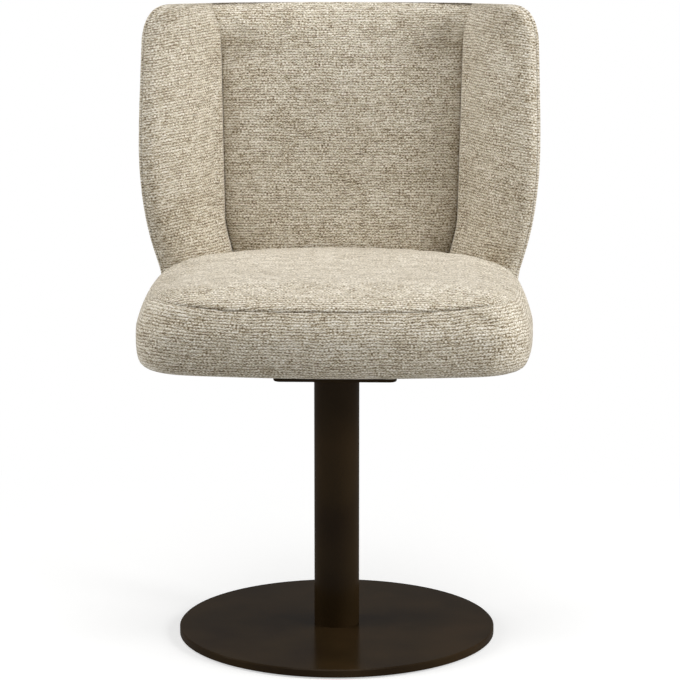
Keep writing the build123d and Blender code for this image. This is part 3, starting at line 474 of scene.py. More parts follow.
def wing_edge(height):
    """Half width between the wings' inner edges; they curl in above the cushion and part at the crest."""
    return (between(EDGE_WIDTH, rise(height)) - CURL * ease((CURL_TOP - height) / CURL_REACH)
            + PARTING * ease((height - PARTING_LOW) / PARTING_REACH))


def belly(height):
    """Shift of the inner faces: they swell forward below the shoulders and lean back towards the crest."""
    return (above(height, LEAN_LEVEL, LEAN_SOFT) * tan(radians(LEAN))
            - BELLY * ease((height - BELLY_LOW) / BELLY_REACH))


def wing_nose(height):
    """Y of the wing's foremost line: it sweeps forward from the seat to the waist."""
    if height < WAIST:
        share = min(above(height, SHOULDER, NOSE_SOFT) / (WAIST - SHOULDER), 1.0)
        depth = NOSE_WAIST - (NOSE_WAIST - NOSE_SEAT) * (1 - share) ** 2
    else:
        depth = between((NOSE_WAIST, NOSE_CREST), ease((height - WAIST) / (CREST - WAIST)))
    return shell_rear(height) - depth


# %% [markdown]
# Each section is traced as a line of close points: from the middle of the rear, round the corner to the
# nose, along the wing's face to its inner edge, down the step, and along the inner back to the middle.
# A soft average along that line then rounds every bend a little, as foam does under a stretched cover.

# %% Trace one section
def travelled(line):
    """Distance travelled along a line, at each of its points."""
    return np.concatenate([[0], np.cumsum(np.hypot(*np.diff(line, axis=0).T))])


def taken_from(line, along, places):
    """Points of a line at given distances along it."""
    return np.stack([np.interp(places, along, line[:, i]) for i in (0, 1)], axis=1)


def arc(centre, radius, start, end, step=1.0):
    """Points of an arc between two angles in degrees, counted from the X axis."""
    count = max(4, int(abs(radians(end - start)) * radius / step))
    angles = np.radians(np.linspace(start, end, count))
    return np.stack([centre[0] + radius * np.cos(angles), centre[1] + radius * np.sin(angles)], axis=1)


def bulged(start, end, bulge, step=1.0):
    """Points of an arc from start to end that bulges to the right of its way by a distance."""
    start, end = np.array(start, float), np.array(end, float)
    way = end - start
    length = np.hypot(*way)
    share = np.linspace(0, 1, max(4, int(length / step)))[:, None]
    aside = np.array([way[1], -way[0]]) / length
    return start + way * share + aside * bulge * 4 * share * (1 - share)


def soften(line, reach):
    """Average a line of points along its length, and keep its two ends."""
    lengths = travelled(line)
    points = taken_from(line, lengths, np.arange(0, lengths[-1], 1.0))
    edge = int(4 * reach)
    before = 2 * points[0] - points[edge:0:-1]
    after = 2 * points[-1] - points[-2:-edge - 2:-1]
    spread = np.exp(-0.5 * (np.arange(-edge, edge + 1) / reach) ** 2)
    spread /= spread.sum()
    whole = np.concatenate([before, points, after])
    return np.stack([np.convolve(whole[:, i], spread, "valid") for i in (0, 1)], axis=1)


def section(height):
    """The right half's outside and front lines, and the inner back's line, at a height."""
    top, hem = rounding(height, CREST_RADIUS, CREST), rounding(-height, HEM_RADIUS, -SEAT_BOTTOM)
    corner_top = rounding(height, CORNER_HEIGHT, CREST) * CORNER_WIDTH / CORNER_HEIGHT
    brow = rounding(height, BROW_RADIUS, CREST) + hem
    corner, rear, centre = shell_arcs(height, top + hem, corner_top - top)
    rear_centre = (0.0, centre[1] + (corner - rear) * sqrt(0.5))
    plain_corner, plain_rear, plain_centre = shell_arcs(height)

    x_edge, step = wing_edge(height), wing_step(height)
    y_edge = (shell_rear(height) - plain_rear + sqrt(plain_rear ** 2 - x_edge ** 2)
              - between(EDGE_WALL, rise(height)) + brow + belly(height))
    y_back = shell_rear(height) - between(BACK_WALL, rise(height)) + brow + belly(height)
    y_nose = wing_nose(height)
    x_side = (plain_centre[0] + sqrt(plain_corner ** 2 - (y_nose + NOSE_RADIUS / 2 - plain_centre[1]) ** 2)
              - corner_top - hem)

    # The outside ends where it meets the round cap of the nose.
    turn_radius = NOSE_RADIUS + NOSE_OVERRUN
    nose_centre = (x_side - NOSE_RADIUS, y_nose + brow + turn_radius)
    cap = arc(nose_centre, turn_radius, 0, -90, 0.5)
    first = int(np.argmax(np.hypot(cap[:, 0] - centre[0], cap[:, 1] - centre[1]) < corner))
    seam_angle = degrees(np.arctan2(cap[first, 1] - centre[1], cap[first, 0] - centre[0]))
    outside = np.concatenate([arc(rear_centre, rear, 90, 45), arc(centre, corner, 45, seam_angle)[1:]])

    # The wing's crowned face ends in a soft lip, and the step goes down from there to its root.
    lip = step * LIP_SHARE
    face = bulged((nose_centre[0], y_nose + brow), (x_edge + lip, y_edge), -WING_CROWN)
    lip_arc = arc((x_edge + lip, y_edge + lip), max(lip, 0.3), -90, -180, 0.3)
    root = np.array([x_edge, y_edge + step])
    whole = np.concatenate([outside, cap[first + 1:], face[1:], lip_arc[1:], [root]])
    mirrored = np.stack([-whole[60:0:-1, 0], whole[60:0:-1, 1]], axis=1)
    lengths = travelled(whole)
    nose_index = len(outside) + len(cap) - first - 2
    marks = [lengths[len(outside) - 1] + SEAM_ON_NOSE, lengths[nose_index],
             lengths[nose_index + len(face) - 1], lengths[-1]]
    smooth = soften(np.concatenate([mirrored, whole]), 3.5)
    extra = travelled(np.concatenate([mirrored, whole[:1]]))[-1]
    along = travelled(smooth)
    scale = along[-1] / (extra + lengths[-1])

    # The inner back is an arc from root to root.
    back = bulged(root, (-root[0], root[1]), 0.0)
    sagitta = y_back - root[1]
    if abs(sagitta) > 0.5:
        across = root[0] * np.linspace(1, -1, len(back))
        big = (root[0] ** 2 + sagitta ** 2) / (2 * abs(sagitta))
        bow = np.sqrt(big ** 2 - across ** 2) - (big - abs(sagitta))
        back = np.stack([across, root[1] + np.sign(sagitta) * bow], axis=1)
    return {"line": smooth, "along": along, "start": extra * scale,
            "marks": [(extra + mark) * scale for mark in marks], "back": back}


probe = section(700.0)
print("section at 700 mm: seam, nose, inner edge and root at",
      [round(mark - probe["start"]) for mark in probe["marks"]], "mm from the rear's middle")

# %% [markdown]
# ## From sections to sewn panels
# A panel is a grid: its rows are heights and its columns run across. Rows and columns crowd together next to
# a seam, because there the cloth dives in towards the thread within a few millimetres. Everything else is
# even, about five millimetres from point to point, which cloth simulation likes.
#
# A sewn seam is never a ruled line. The thread pulls the cloth in a little more at each stitch and the foam
# pushes it out in between, so the seam wavers and small puckers run out from it. Sines of a few unrelated
# lengths make that without a random number, so it comes out the same each time.

# %% Places next to a seam
CELL = 4.8
SEAM_PLACES = np.array([0.0, 0.7, 1.5, 2.6, 4.2, 6.6])
SEAM_SHAPE = np.array([1.0, 0.62, 0.30, 0.11, 0.03, 0.0])    # share of the seam's depth at those places
PUCKER_REACH = 8.0


def crowded(length, count, start_seam=True, end_seam=True):
    """Places along a length, crowded at the ends that are seams."""
    crowd = SEAM_PLACES * min(1.0, length / 30.0)
    low = crowd if start_seam else np.array([0.0])
    high = length - (crowd[::-1] if end_seam else np.array([0.0]))
    middle = np.linspace(low[-1], high[0], count - len(low) - len(high) + 2)[1:-1]
    return np.concatenate([low, middle, high])


def waver(distance):
    """A wandering value of about -1 to 1 along a seam."""
    return (np.sin(distance / 3.1) + np.sin(distance / 5.3 + 1.7) + 0.8 * np.sin(distance / 11.9 + 0.4)
            + 0.5 * np.sin(distance / 1.9 + 2.2)) / 2.6


def levels():
    """Heights of the rows, from the hem to the crest."""
    low = [SEAT_BOTTOM + HEM_RADIUS * (1 - sin(radians(angle))) for angle in (90, 72, 54, 36, 18, 0)]
    middle = np.linspace(low[-1], CREST - CREST_RADIUS, 92)[1:-1]
    high = [CREST - CREST_RADIUS * (1 - sin(radians(angle))) for angle in
            (0, 10, 20, 30, 39, 47, 54, 60, 66, 72, 78, 84, 90)]
    return np.array(low + list(middle) + high)


heights = levels()
sections = [section(height) for height in heights]
print("rows:", len(heights), " cells are about", CELL, "mm")


# %% Grid helpers
def normals_of(rows, wrap=False):
    """Unit normals of a grid of points."""
    if wrap:
        return normals_of(np.concatenate([rows[:, -2:], rows, rows[:, :2]], axis=1))[:, 2:-2]
    normal = np.cross(np.gradient(rows, axis=1), np.gradient(rows, axis=0))
    return normal / np.maximum(np.linalg.norm(normal, axis=2, keepdims=True), 1e-9)


def lengths_along(rows, axis):
    """Distance travelled along a grid's columns (axis 0) or rows (axis 1)."""
    steps = np.linalg.norm(np.diff(rows, axis=axis), axis=2)
    pad = [(0, 0), (0, 0)]
    pad[axis] = (1, 0)
    return np.cumsum(np.pad(steps, pad), axis=axis)


def stitch(rows, outward, seams, wrap=False):
    """Let a grid of cloth dive into its seams, and return it with its painted shade values, facing outward.

    A seam is the distance of each point from it, its depth, how much it puckers, how much wider than usual
    it opens, and how much shade is painted into it. Outward is a rough direction that the middle of the panel
    faces."""
    normal = normals_of(rows, wrap)
    if np.dot(normal[rows.shape[0] // 2, rows.shape[1] // 2], outward) < 0:
        normal = -normal
    normal[rows[..., 2] > CREST - 0.5] = (0, 0, 1)
    depth, painted_shade = np.zeros(rows.shape[:2]), np.zeros(rows.shape[:2])
    along = rows[..., 0] + 0.8 * rows[..., 1] + rows[..., 2]
    for distance, deep, pucker, width, dark in seams:
        shape = np.interp(distance / width, SEAM_PLACES, SEAM_SHAPE)
        near = np.exp(-distance / PUCKER_REACH)
        depth = np.maximum(depth, deep * shape) + pucker * near * (1 + waver(along)) / 2
        painted_shade = np.maximum(painted_shade, dark * shape)
    return rows - normal * depth[..., None], painted_shade


def sew(name, rows, cut, painted_shade=None, wrap=False):
    """Make a mesh from rows of points in millimetres, with the flat cut in millimetres as its UV map."""
    rows, cut = np.asarray(rows, float), np.asarray(cut, float)
    count_r, count_c = rows.shape[:2]
    index = np.arange(count_r * count_c).reshape(count_r, count_c)
    if wrap:
        index = np.concatenate([index, index[:, :1]], axis=1)
    quads = np.stack([index[:-1, :-1], index[:-1, 1:], index[1:, 1:], index[1:, :-1]], axis=-1)
    corners = np.stack([cut[:-1, :-1], cut[:-1, 1:], cut[1:, 1:], cut[1:, :-1]], axis=2)
    mesh = bpy.data.meshes.new(name)
    mesh.from_pydata((rows.reshape(-1, 3) * METRE).tolist(), [], quads.reshape(-1, 4).tolist())
    mesh.uv_layers.new(name="cut").uv.foreach_set("vector", corners.ravel().astype(np.float32))
    if painted_shade is not None:
        values = mesh.attributes.new("painted_shade", "FLOAT", "POINT").data
        values.foreach_set("value", painted_shade.ravel().astype(np.float32))
    mesh.polygons.foreach_set("use_smooth", [True] * len(mesh.polygons))
    mesh.update()
    piece = bpy.data.objects.new(name, mesh)
    bpy.context.scene.collection.objects.link(piece)
    return piece


# %% [markdown]
# A sewn panel is still as flat as paper between its seams. Foam pushes it out, so each panel goes through
# twenty frames of cloth simulation: its seams are held, gravity is off, and a light pressure acts from
# inside. Only the first few millimetres of that movement are kept.

# %% Cloth simulation
HELD_EDGE = 7.0              # mm next to a seam that stay as they were sewn
FRAMES = 20


def settle(piece, held, most):
    """Blow the cloth up between its held points, and keep at most a few millimetres of the movement."""
    scene = bpy.context.scene
    start = np.array([vertex.co for vertex in piece.data.vertices])
    sewn = piece.vertex_groups.new(name="sewn")
    sewn.add(np.flatnonzero(held).tolist(), 1.0, "ADD")
    cloth = piece.modifiers.new("cloth", "CLOTH")
    cloth.settings.quality = 5
    cloth.settings.mass = 0.3
    cloth.settings.tension_stiffness = cloth.settings.compression_stiffness = 30.0
    cloth.settings.shear_stiffness = 10.0
    cloth.settings.bending_stiffness = 2.0
    cloth.settings.use_pressure = True
    cloth.settings.uniform_pressure_force = 4.0
    cloth.settings.shrink_min = -0.012
    cloth.settings.vertex_group_mass = "sewn"
    cloth.settings.effector_weights.gravity = 0.0
    cloth.collision_settings.use_collision = False
    cloth.point_cache.frame_start, cloth.point_cache.frame_end = 1, FRAMES
    for step in range(1, FRAMES + 1):
        scene.frame_set(step)
    blown = piece.evaluated_get(bpy.context.evaluated_depsgraph_get()).data
    moved = np.array([vertex.co for vertex in blown.vertices]) - start
    piece.modifiers.remove(cloth)
    piece.vertex_groups.remove(sewn)
    length = np.linalg.norm(moved, axis=1)
    kept = most * METRE * np.tanh(length / (most * METRE)) / np.maximum(length, 1e-9)
    piece.data.vertices.foreach_set("co", (start + moved * kept[:, None]).ravel())
    piece.data.update()
    scene.frame_set(1)
    print(f"{piece.name}: the foam moves it {length.max() * 1000:.1f} mm at most, "
          f"{(length * kept).mean() * 1000:.1f} mm kept on average")


def dress(piece, finish, body, stands_for):
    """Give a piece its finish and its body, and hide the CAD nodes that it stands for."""
    piece.data.materials.append(finish)
    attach(piece, body)
    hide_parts(*stands_for)


def upholster(name, rows, cut, painted_shade, outward, stands_for, away, most, wrap=False):
    """Sew and settle a panel as full as the foam makes it, and hide the solids that it covers.

    Away is each point's distance from the nearest seam, and most the movement that the foam may give it."""
    piece = sew(name, rows, cut, painted_shade, wrap)
    count = len(piece.data.polygons)
    facing = np.zeros(3 * count)
    piece.data.polygons.foreach_get("normal", facing)
    middle = facing.reshape(-1, 3)[(rows.shape[0] // 2) * (count // (rows.shape[0] - 1)) + rows.shape[1] // 2]
    if np.dot(middle, outward) < 0:
        piece.data.flip_normals()
    settle(piece, away.ravel() < HELD_EDGE, most)
    dress(piece, slub_weave, "seat", stands_for)
    print(f"{name}: {rows.shape[0]} x {rows.shape[1]} points")
    return piece


# %% [markdown]
# ## The seat cushion
# The cushion is a D seen from above: a slightly bowed front, bowed sides and a round rear that fits the
# shell. Its cover has a top panel and a boxing strip, sewn together a little below the crown. A square grid
# is stretched to the D, ring by ring, so the top has no pole where many faces would meet.

# %% The cushion's outline
def chain(arcs, x, y):
    """Points of a chain of arcs, each given by its radius and the headings where it starts and ends."""
    pieces = []
    for radius, start, end in arcs:
        centre = (x - radius * sin(radians(start)), y + radius * cos(radians(start)))
        points = arc(centre, radius, start - 90, end - 90, 0.5)
        pieces.append(points[:-1])
        x, y = points[-1]
    return pieces


rear_corner, rear_round = rear_arcs(SEAT_WIDTH / 2, SEAT_REAR - seat_widest, SIDE_RADIUS)
half_turn = (FRONT_TURN + 90 - SIDE_TURN) / 2
right = [(seat_corner, half_turn, 90 - SIDE_TURN), (SIDE_RADIUS, 90 - SIDE_TURN, 90 + TAIL_TURN),
         (rear_corner, 90 + TAIL_TURN, 135)]
left = [(radius, 360 - end, 360 - start) for radius, start, end in right[::-1]]
seat_arcs = [*right, (rear_round, 135, 225), *left, (seat_corner, 360 - half_turn, 360 - FRONT_TURN),
             (FRONT_RADIUS, -FRONT_TURN, FRONT_TURN), (seat_corner, FRONT_TURN, half_turn)]
corner_x = FRONT_RADIUS * sin(front) + seat_corner * (sin(radians(half_turn)) - sin(front))
corner_y = (-SEAT_FRONT + FRONT_RADIUS * (1 - cos(front))
            + seat_corner * (cos(front) - cos(radians(half_turn))))
traced = chain(seat_arcs, corner_x, corner_y)
SIDE_CELLS = 112
seat_sides = [np.concatenate(traced[i:j]) for i, j in ((0, 3), (3, 4), (4, 7), (7, 10))]
border = []
for i, points in enumerate(seat_sides):
    points = np.concatenate([points, seat_sides[(i + 1) % 4][:1]])
    along = travelled(points)
    border.append(taken_from(points, along, np.linspace(0, along[-1], SIDE_CELLS + 1)[:-1]))
border = np.concatenate(border)            # right side, rear, left side, front
border_loop = np.concatenate([border, border[:1]])
round_seat = travelled(border_loop)
middle_y = (SEAT_REAR - SEAT_FRONT) / 2
print(f"cushion: {np.ptp(border[:, 0]):.0f} x {np.ptp(border[:, 1]):.0f} mm, {round_seat[-1]:.0f} mm round")


# %% [markdown]
# The profile is the shape that a saw would show if it cut the cushion through. Foam glued up in layers has no
# flat sides: the boxing bellies out, turns under the board, and the crown rises fast and then levels. The
# back presses on the rear, so the cushion stands a little higher there.

# %% The cushion's profile
def curve_through(points, step):
    """A smooth curve through points, with its own points a step apart."""
    points = np.array(points, float)
    ends = np.concatenate([[2 * points[0] - points[1]], points, [2 * points[-1] - points[-2]]])
    t = np.linspace(0, 1, 24, endpoint=False)[:, None]
    out = [(2 * b + (c - a) * t + (2 * a - 5 * b + 4 * c - d) * t ** 2 + (3 * b - a - 3 * c + d) * t ** 3) / 2
           for a, b, c, d in zip(ends, ends[1:], ends[2:], ends[3:])]
    out = np.concatenate(out + [points[-1:]])
    along = travelled(out)
    return taken_from(out, along, np.linspace(0, along[-1], max(3, int(round(along[-1] / step)) + 1)))


# Each pair is an inset from the outline and a height. The boxing comes from under the board up to the seam.
BOXING = [(62, 385.3), (45, 385.1), (30, 385.0), (21, 385.3), (13, 386.9), (6, 391.8), (2, 400.3), (0, 413),
          (0, 435), (2.5, 444.5), (7, 457.3), (13, 470)]
CROWN = [(13, 470), (20, 478.1), (29, 484), (43, 488.9), (66, 493), (96, 495.5), (135, 497), (190, 497.6),
         (254, 497.8)]
boxing, crown = curve_through(BOXING, CELL), curve_through(CROWN, CELL)
boxing_length, crown_length = travelled(boxing)[-1], travelled(crown)[-1]
RINGS = SIDE_CELLS // 2
boxing_places = crowded(boxing_length, 36, False, True)
crown_places = crowded(crown_length, RINGS + 1, True, False)
profile = np.concatenate([boxing, crown[1:]])
profile_along = travelled(profile)
print(f"boxing: {boxing_length:.0f} mm, crown: {crown_length:.0f} mm from the seam to the middle")


def profile_at(places):
    """Inset and height of the profile at distances from the board."""
    return np.interp(places, profile_along, profile[:, 0]), np.interp(places, profile_along, profile[:, 1])


SEAM_RISE = 9.0              # mm that the seam lies higher on the sides than in the middle of the front
RISE_FROM, RISE_REACH = 110.0, 140.0         # it rises from this far to the side, over this much
OPEN_UP_TO, OPEN_REACH, CLOSED = 165.0, 50.0, 0.75           # share of the seam's opening lost at the sides
REAR_LIFT, EDGE_LIFT = 4.0, 2.5              # how much the rear of the crown rises, and its edge beside that


def seam_share(points):
    """0 in the middle of the front and 1 on the sides."""
    return ease((np.abs(points[:, 0]) - RISE_FROM) / RISE_REACH)


def cushion_seam(distance, x):
    """The seam, open in the front, with shade painted into it; towards the corners the cloth is pulled tight,
    and it closes and its painted shade fades.
    """
    opened = 1 - CLOSED * ease((np.abs(x) - OPEN_UP_TO) / OPEN_REACH)
    return distance, 2.0 * opened, 0.9 * opened, 1.0, 0.5 * opened


def seat_lift(y, inset):
    """How much the cushion stands higher towards the rear; its edge, held between the wings, rises most."""
    return ((REAR_LIFT + EDGE_LIFT) * ease((y + 120) / 220)
            - EDGE_LIFT * ease((y - 20) / 110) * ease((inset - 30) / 80))


def ring(inset, height, points):
    """The outline drawn in by an inset, at a height."""
    scale = 1 - 2 * inset / SEAT_WIDTH
    return np.stack([points[:, 0] * scale, middle_y + (points[:, 1] - middle_y) * scale,
                     height + np.zeros(len(points))], axis=1)


# %% Boxing strip
seam_wander = 0.5 * waver(round_seat[:-1])
seam_place = boxing_length + SEAM_RISE * seam_share(border)
side_rows = np.array([ring(*profile_at(place * seam_place / boxing_length), border)
                      for place in boxing_places])
from_seam = boxing_length - boxing_places
lifted = ease((side_rows[:, :, 2] - 430) / 40) * seat_lift(side_rows[:, :, 1], 13.0)
side_rows[:, :, 2] += lifted + np.exp(-from_seam[:, None] / PUCKER_REACH) * seam_wander
under_seam = np.repeat(from_seam[:, None], len(border), 1)
side_rows, side_painted_shade = stitch(side_rows, (-1, 0, 0), [cushion_seam(under_seam, side_rows[..., 0])], wrap=True)
side_cut = np.stack(np.broadcast_arrays(round_seat[None, :], boxing_places[:, None]), axis=2)
side_away = np.minimum(under_seam, boxing_places[:, None])
upholster("seat_side_panel", side_rows, side_cut, side_painted_shade, (-1, 0, 0), ["seat_side_cover"],
          side_away, 0.8, wrap=True)

# %% Top panel
across = 2 * RINGS + 1
grid, grid_cut = np.zeros((across, across, 3)), np.zeros((across, across, 2))
grid_away = np.full((across, across), crown_length)
grid[RINGS, RINGS] = (0, middle_y, crown[-1, 1] + seat_lift(middle_y, 200))
for level in range(1, RINGS + 1):
    k = RINGS - level
    step, full = np.arange(2 * level), np.full(2 * level, level)
    at_row = np.concatenate([step - level, full, level - step, -full]) + RINGS
    at_column = np.concatenate([full, level - step, -full, step - level]) + RINGS
    share = np.arange(8 * level) / (2 * level) * SIDE_CELLS
    place = taken_from(border_loop, np.arange(len(border_loop)), share)
    seam = boxing_length + SEAM_RISE * seam_share(place)
    inset, height = profile_at(seam + crown_places[k] * (profile_along[-1] - seam) / crown_length)
    points = ring(inset, height, place)
    travel = np.interp(share, np.arange(len(round_seat)), round_seat)
    points[:, 2] += (seat_lift(points[:, 1], inset)
                     + 0.5 * waver(travel) * np.exp(-crown_places[k] / PUCKER_REACH))
    grid[at_row, at_column] = points
    flat = (crown_length - crown_places[k]) / (SEAT_WIDTH / 2)
    grid_cut[at_row, at_column] = (place - [0, middle_y]) * flat
    grid_away[at_row, at_column] = crown_places[k]
grid, grid_painted_shade = stitch(grid, (0, 0, 1), [cushion_seam(grid_away, grid[..., 0])])
upholster("seat_top_panel", grid, grid_cut, grid_painted_shade, (0, 0, 1), ["seat_top_cover", "seat_foam"],
          grid_away, 2.5)

# %% [markdown]
# ## Where the back meets the cushion
# The wings and the inner back stand on the cushion, and their covers go on down between cushion and shell.
# The cloth that would run through the foam is cut away a few millimetres below the cushion's surface, and
# just above the cushion a contact shade is painted into the covers.

# %% Trim the covers that go into the cushion, and paint shade where they meet it
# Painted shade where a cover comes down to the cushion: its darkness, and its reach in millimetres.
CONTACT_DARK, CONTACT_REACH = 0.55, 4.0
TRIM_DEPTH = 4.0             # mm below the cushion's surface

polar = np.unwrap(np.arctan2(border[:, 1] - middle_y, border[:, 0]))
polar_radius = np.hypot(border[:, 0], border[:, 1] - middle_y)


def depth_in_cushion(points):
    """How far points in millimetres are below the cushion's surface, or a negative number outside it."""
    angle = np.arctan2(points[:, 1] - middle_y, points[:, 0])
    outline = np.interp(angle, polar, polar_radius, period=2 * pi)
    inset = SEAT_WIDTH / 2 * (1 - np.hypot(points[:, 0], points[:, 1] - middle_y) / outline)
    surface = np.interp(inset, crown[:, 0], crown[:, 1]) + seat_lift(points[:, 1], inset)
    edge_inset = np.interp(points[:, 2], boxing[-30:, 1], boxing[-30:, 0])
    return np.where(points[:, 2] > SEAT_SEAM, np.minimum(surface - points[:, 2], inset - 13 + 4),
                    inset - edge_inset)


def paint_contact_shade(rows, painted_shade):
    """Paint shade into a panel where it comes down to the cushion, by raising its painted shade values."""
    above_cushion = -depth_in_cushion(rows.reshape(-1, 3)).reshape(painted_shade.shape)
    near = CONTACT_DARK * np.exp(-np.maximum(above_cushion, 0) / CONTACT_REACH) * (rows[..., 2] > SEAT_SEAM)
    return np.maximum(painted_shade, near)


def trim(piece):
    """Delete the faces of a panel that lie deeper in the cushion than TRIM_DEPTH."""
    points = np.array([vertex.co for vertex in piece.data.vertices]) / METRE
    deep = depth_in_cushion(points) > TRIM_DEPTH
    work = bmesh.new()
    work.from_mesh(piece.data)
    gone = [face for face in work.faces if all(deep[vertex.index] for vertex in face.verts)]
    bmesh.ops.delete(work, geom=gone, context="FACES")
    work.to_mesh(piece.data)
    work.free()
    print(f"{piece.name}: {len(gone)} faces trimmed")


# %% [markdown]
# ## The back's three kinds of panel
# One wide panel goes round the outside, from the seam on one wing's nose to the other, turns under the hem
# and rolls over the crest. Each wing has its own: from the seam on its nose, round the nose, over the crowned
# face and the inner edge, and down the step. The inner back lies between the two steps.
# First all three are laid out up to the crest, and then the crest's seam is drawn halfway between them.
# The inner back is a pad: it swells forward a little, and turns in over its last centimetres to the steps.
# That turn leaves a soft shade beside each wing, and a shade painted into the cloth there adds to it.

# %% Rows of the three kinds of panel
PAD_TURN = 55.0              # mm next to the steps over which the inner back turns in
PAD_SWELL, PAD_RIM = 3.0, 5.0                # how much it swells in the middle, and in that turn
PAD_FADE = 150.0             # mm below the crest over which both fade out
INNER_FOOT = 436.0           # the inner back goes down behind the cushion to this height


def outer_row(part, columns=150):
    """The outer back, from its right seam round the rear to its left seam."""
    middle, seam = part["start"], part["marks"][0]
    places = crowded(2 * (seam - middle), columns) - (seam - middle)
    points = taken_from(part["line"], part["along"], middle + np.abs(places))
    return points * np.stack([-np.sign(places), np.ones(columns)], axis=1)


def wing_row(part):
    """The right wing, from the seam on its nose to the step's foot."""
    seam, _, inner, root = part["marks"]
    to_inner = seam + crowded(inner - seam, 36, True, False)
    to_root = inner + crowded(root - inner, 16, False, True)[1:]
    return taken_from(part["line"], part["along"], np.concatenate([to_inner, to_root]))


def inner_row(part, columns=74):
    """The inner back, from the right step's foot to the left one's."""
    along = travelled(part["back"])
    return taken_from(part["back"], along, crowded(along[-1], columns))


def stacked(row_maker, first=0):
    """A panel's rows as points in space."""
    return np.array([np.column_stack([row, np.full(len(row), height)]) for row, height in
                     ((row_maker(part), height) for part, height in zip(sections[first:], heights[first:]))])


outer, wing = stacked(outer_row), stacked(wing_row)
first_row = int(np.argmax(heights > INNER_FOOT))
inner = stacked(inner_row, first_row)
from_middle = np.abs(inner[..., 0])
foot_x = from_middle[:, :1]
swell = (PAD_SWELL * (1 - (from_middle / foot_x) ** 2)
         + PAD_RIM * (1 - np.clip(1 - (foot_x - from_middle) / PAD_TURN, 0, 1) ** 2))
inner[..., 1] -= swell * ease((CREST - inner[..., 2]) / PAD_FADE)
_, nose, inner_edge, root = sections[60]["marks"]
print(f"wing at {heights[60]:.0f} mm: nose to inner edge {inner_edge - nose:.0f} mm, "
      f"step {root - inner_edge:.0f} mm")


# %% The crest's seam
HUB = np.array([0.0, 60.0])  # every top edge is seen once round from here, so an angle finds its partner


def turned_about_hub(line):
    """Angles in degrees and distances of a line's points, seen from the hub."""
    away = line - HUB
    return np.degrees(np.arctan2(away[:, 1], away[:, 0])), np.hypot(*away.T)


outer_top, wing_top, inner_top = outer[-1, :, :2], wing[-1, :, :2], inner[-1, :, :2]
front_top = np.concatenate([wing_top[:-1], inner_top, (wing_top * [-1, 1])[::-1][1:]])
outer_turn, outer_away = turned_about_hub(outer_top)
front_turn, front_away = turned_about_hub(front_top)
seam_turn = np.linspace(outer_turn[0], outer_turn[-1], 361)
seam_away = (np.interp(seam_turn, outer_turn, outer_away) + np.interp(seam_turn, front_turn, front_away)) / 2
TOP_SHARES = (0.25, 0.5, 0.7, 0.84, 0.93, 1.0)


def close_to_seam(rows):
    """Add the rows that run level from a panel's top edge to the crest's seam."""
    top = rows[-1, :, :2]
    turn, away = turned_about_hub(top)
    goal = HUB + (top - HUB) / away[:, None] * np.interp(turn, seam_turn, seam_away)[:, None]
    added = [np.column_stack([top + (goal - top) * share, np.full(len(top), CREST)]) for share in TOP_SHARES]
    return np.concatenate([rows, added])


widest = np.abs(seam_away - np.interp(seam_turn, outer_turn, outer_away)).max()
print(f"crest: the seam lies up to {widest:.1f} mm from the outer panel's top edge")
outer, wing, inner = close_to_seam(outer), close_to_seam(wing), close_to_seam(inner)


def from_edges(rows):
    """Distances of a grid's points from its first column, last column, top row and nearest edge."""
    across, up = lengths_along(rows, 1), lengths_along(rows, 0)
    edges = across, across[:, -1:] - across, up[-1:] - up
    return *edges, np.minimum.reduce([*edges, up])


def up_the_cut(rows, column):
    """Heights on the flat cut: as along one column up to the crest, and each column's own way from there."""
    up = lengths_along(rows, 0)
    level = rows.shape[0] - len(TOP_SHARES) - 1
    flat = np.repeat(up[:, column:column + 1], rows.shape[1], 1)
    flat[level:] = flat[level] + up[level:] - up[level]
    return flat


# %% Outer back panel
# Each seam's last value is the shade painted into it.
SIDE_SEAM, CREST_SEAM = (1.2, 0.3, 1.0, 0.35), (0.5, 0.2, 1.0, 0.1)  # depth, pucker, width and darkness


def turned_under(row, distance):
    """A hem row, moved level towards the inside."""
    way = np.gradient(row[:, :2], axis=0)
    way = np.stack([way[:, 1], -way[:, 0]], axis=1) / np.linalg.norm(way, axis=1, keepdims=True)
    way *= np.sign(np.dot(way[len(way) // 2], (0, -1)))
    return np.column_stack([row[:, :2] + way * distance, row[:, 2]])


outer = np.concatenate([[turned_under(outer[0], 10.0), turned_under(outer[0], 5.0)], outer])
right_side, left_side, under_crest, outer_away = from_edges(outer)
middle = outer.shape[1] // 2
outer_cut = np.stack([right_side - right_side[:, middle:middle + 1], up_the_cut(outer, middle)], axis=2)
outer, outer_painted_shade = stitch(outer, (0, 1, 0), [(right_side, *SIDE_SEAM), (left_side, *SIDE_SEAM),
                                              (under_crest, *CREST_SEAM)])
upholster("outer_back_panel", outer, outer_cut, outer_painted_shade, (0, 1, 0), ["outer_back_cover", "back_padding"],
          outer_away, 1.2)

# %% [markdown]
# The wings' cloth is cut slightly on the slant, so its ribs drop towards the nose, as they do in the picture.
# The seam at the foot of the step hardly dents the wing. On the inner back it opens, and a shade is painted
# beside it, darker low down; both fade out where the step closes below the crest.

# %% Wing panels
SLANT = 14.0                 # mm that the ribs drop at the nose
nose_side, foot_side, under_crest, wing_away = from_edges(wing)
share = nose_side / nose_side[:, -1:]
wing_cut = np.stack([nose_side, up_the_cut(wing, 24) + SLANT * (1 - share) ** 2], axis=2)
wing, wing_painted_shade = stitch(wing, (-1, -1, 0), [(nose_side, *SIDE_SEAM), (foot_side, 0.3, 0.0, 1.0, 0.0),
                                             (under_crest, *CREST_SEAM)])
wing_painted_shade = paint_contact_shade(wing, wing_painted_shade)
for mirror, side_name in ((-1, "left"), (1, "right")):
    panel = upholster(f"wing_panel_{side_name}", wing * [mirror, 1, 1], wing_cut * [mirror, 1], wing_painted_shade,
                      (-mirror, -1, 0), [f"wing_cover_{side_name}", f"wing_foam_{side_name}"],
                      wing_away, 2.5)
    trim(panel)

